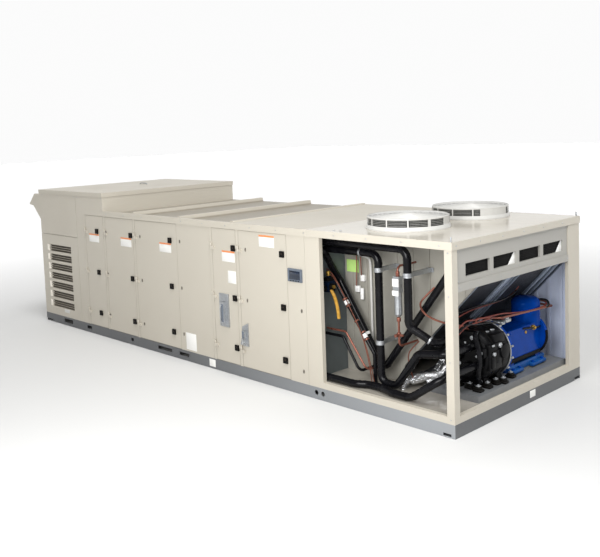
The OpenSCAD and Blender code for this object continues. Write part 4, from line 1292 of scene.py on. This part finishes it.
class AIRHANDLER_OT_stage(bpy.types.Operator):
    """Sets the floor, the lights and the camera"""

    bl_idname = "airhandler.stage"
    bl_label = "Stage"

    def execute(self, context):
        deselect()
        bpy.ops.mesh.primitive_plane_add(size=160, location=(0, 0, -0.001))
        floor = context.object
        floor.name = "studio_floor"
        floor.data.materials.append(studio_floor("studio_floor_painted_light"))
        self.light(context)
        self.aim(context)
        return {"FINISHED"}

    def light(self, context):
        """A broad sun, a soft side light and a pale sky that is dimmer in front."""
        sun = bpy.data.lights.new("key_light", "SUN")
        sun.energy = 2.3
        sun.angle = math.radians(32)
        holder = bpy.data.objects.new("key_light", sun)
        holder.rotation_euler = Vector((-0.36, 0.2, -0.91)).to_track_quat("-Z", "Y").to_euler()
        context.collection.objects.link(holder)
        soft = bpy.data.lights.new("side_light", "AREA")
        soft.size = 3.0
        soft.energy = 345
        holder = bpy.data.objects.new("side_light", soft)
        holder.location = (4.6, -5.7, 3.2)
        target = Vector((2.2, 0.0, 0.9))
        holder.rotation_euler = (target - holder.location).to_track_quat("-Z", "Y").to_euler()
        context.collection.objects.link(holder)
        world = bpy.data.worlds.new("studio")
        world.use_nodes = True
        tree = world.node_tree
        ray = add_node(tree, "ShaderNodeTexCoord").outputs["Generated"]
        way = add_node(tree, "ShaderNodeSeparateXYZ", {"Vector": ray}).outputs
        glow = add_node(tree, "ShaderNodeMapRange", {0: way["Z"], 1: 0.2, 2: 0.6, 3: 0.97, 4: 0.5})
        front = add_node(tree, "ShaderNodeMapRange", {0: way["Y"], 1: -0.8, 2: 0.1, 3: 0.23, 4: 1.0})
        both = {0: glow.outputs[0], 1: front.outputs[0]}
        level = add_node(tree, "ShaderNodeMath", both, operation="MULTIPLY").outputs[0]
        feed(tree, tree.nodes["Background"], {"Strength": level, "Color": (1.0, 1.0, 1.0, 1.0)})
        context.scene.world = world
        context.scene.view_settings.view_transform = "Standard"

    def aim(self, context):
        """The camera, fitted to a picture of 600 by 557 pixels."""
        wide, high, focal, centre_row, sensor = 600, 557, 822.87, 200.74, 36.0
        yaw, pitch, roll = (math.radians(turn) for turn in (135.82, -5.10, -2.09))
        ahead = Vector((math.cos(pitch) * math.cos(yaw), math.cos(pitch) * math.sin(yaw), math.sin(pitch)))
        right = ahead.cross(Vector((0, 0, 1))).normalized()
        up = right.cross(ahead)
        across = right * math.cos(roll) + up * math.sin(roll)
        above = up * math.cos(roll) - right * math.sin(roll)
        camera = bpy.data.cameras.new("photo_camera")
        camera.sensor_fit = "HORIZONTAL"
        camera.sensor_width = sensor
        camera.lens = focal / wide * sensor
        camera.shift_y = (centre_row - high / 2) / wide
        camera.clip_end = 300.0
        eye = bpy.data.objects.new("photo_camera", camera)
        eye.matrix_world = Matrix((
            (across.x, above.x, -ahead.x, 0),
            (across.y, above.y, -ahead.y, 0),
            (across.z, above.z, -ahead.z, 0),
            (0, 0, 0, 1),
        ))
        eye.location = at(11876, -5944, 2848)
        context.collection.objects.link(eye)
        context.scene.camera = eye


STEPS = (
    AIRHANDLER_OT_stage, AIRHANDLER_OT_finishes, AIRHANDLER_OT_latches, AIRHANDLER_OT_seals,
    AIRHANDLER_OT_louvre_jambs, AIRHANDLER_OT_studs, AIRHANDLER_OT_tags, AIRHANDLER_OT_display,
    AIRHANDLER_OT_disconnects, AIRHANDLER_OT_fan_wires, AIRHANDLER_OT_screws, AIRHANDLER_OT_rear_ribs,
    AIRHANDLER_OT_compressor_jacket, AIRHANDLER_OT_compressor_blue, AIRHANDLER_OT_compressor_lines,
    AIRHANDLER_OT_coil_bars, AIRHANDLER_OT_bay_fittings, AIRHANDLER_OT_bay_valve, AIRHANDLER_OT_bay_lines,
    AIRHANDLER_OT_foil, AIRHANDLER_OT_roof_fittings, AIRHANDLER_OT_header_windows,
)


class AIRHANDLER_PT_sidebar(bpy.types.Panel):
    """Lists the steps, the sizes and the colours"""

    bl_idname = "AIRHANDLER_PT_sidebar"
    bl_label = "Air Handler"
    bl_space_type = "VIEW_3D"
    bl_region_type = "UI"
    bl_category = "Air Handler"

    def draw(self, context):
        for step in STEPS:
            self.layout.operator(step.bl_idname)
        for group in (context.scene.air_handler_sizes, context.scene.air_handler_colours):
            for key in group.__annotations__:
                self.layout.prop(group, key)


CLASSES = (AirHandlerColours, AirHandlerSizes) + STEPS + (AIRHANDLER_PT_sidebar,)


def register():
    for kind in CLASSES:
        bpy.utils.register_class(kind)
    bpy.types.Scene.air_handler_colours = bpy.props.PointerProperty(type=AirHandlerColours)
    bpy.types.Scene.air_handler_sizes = bpy.props.PointerProperty(type=AirHandlerSizes)


def unregister():
    del bpy.types.Scene.air_handler_colours
    del bpy.types.Scene.air_handler_sizes
    for kind in reversed(CLASSES):
        bpy.utils.unregister_class(kind)


def main():
    register()
    for step in STEPS:
        group, name = step.bl_idname.split(".")
        getattr(getattr(bpy.ops, group), name)()


if __name__ == "__main__":
    main()
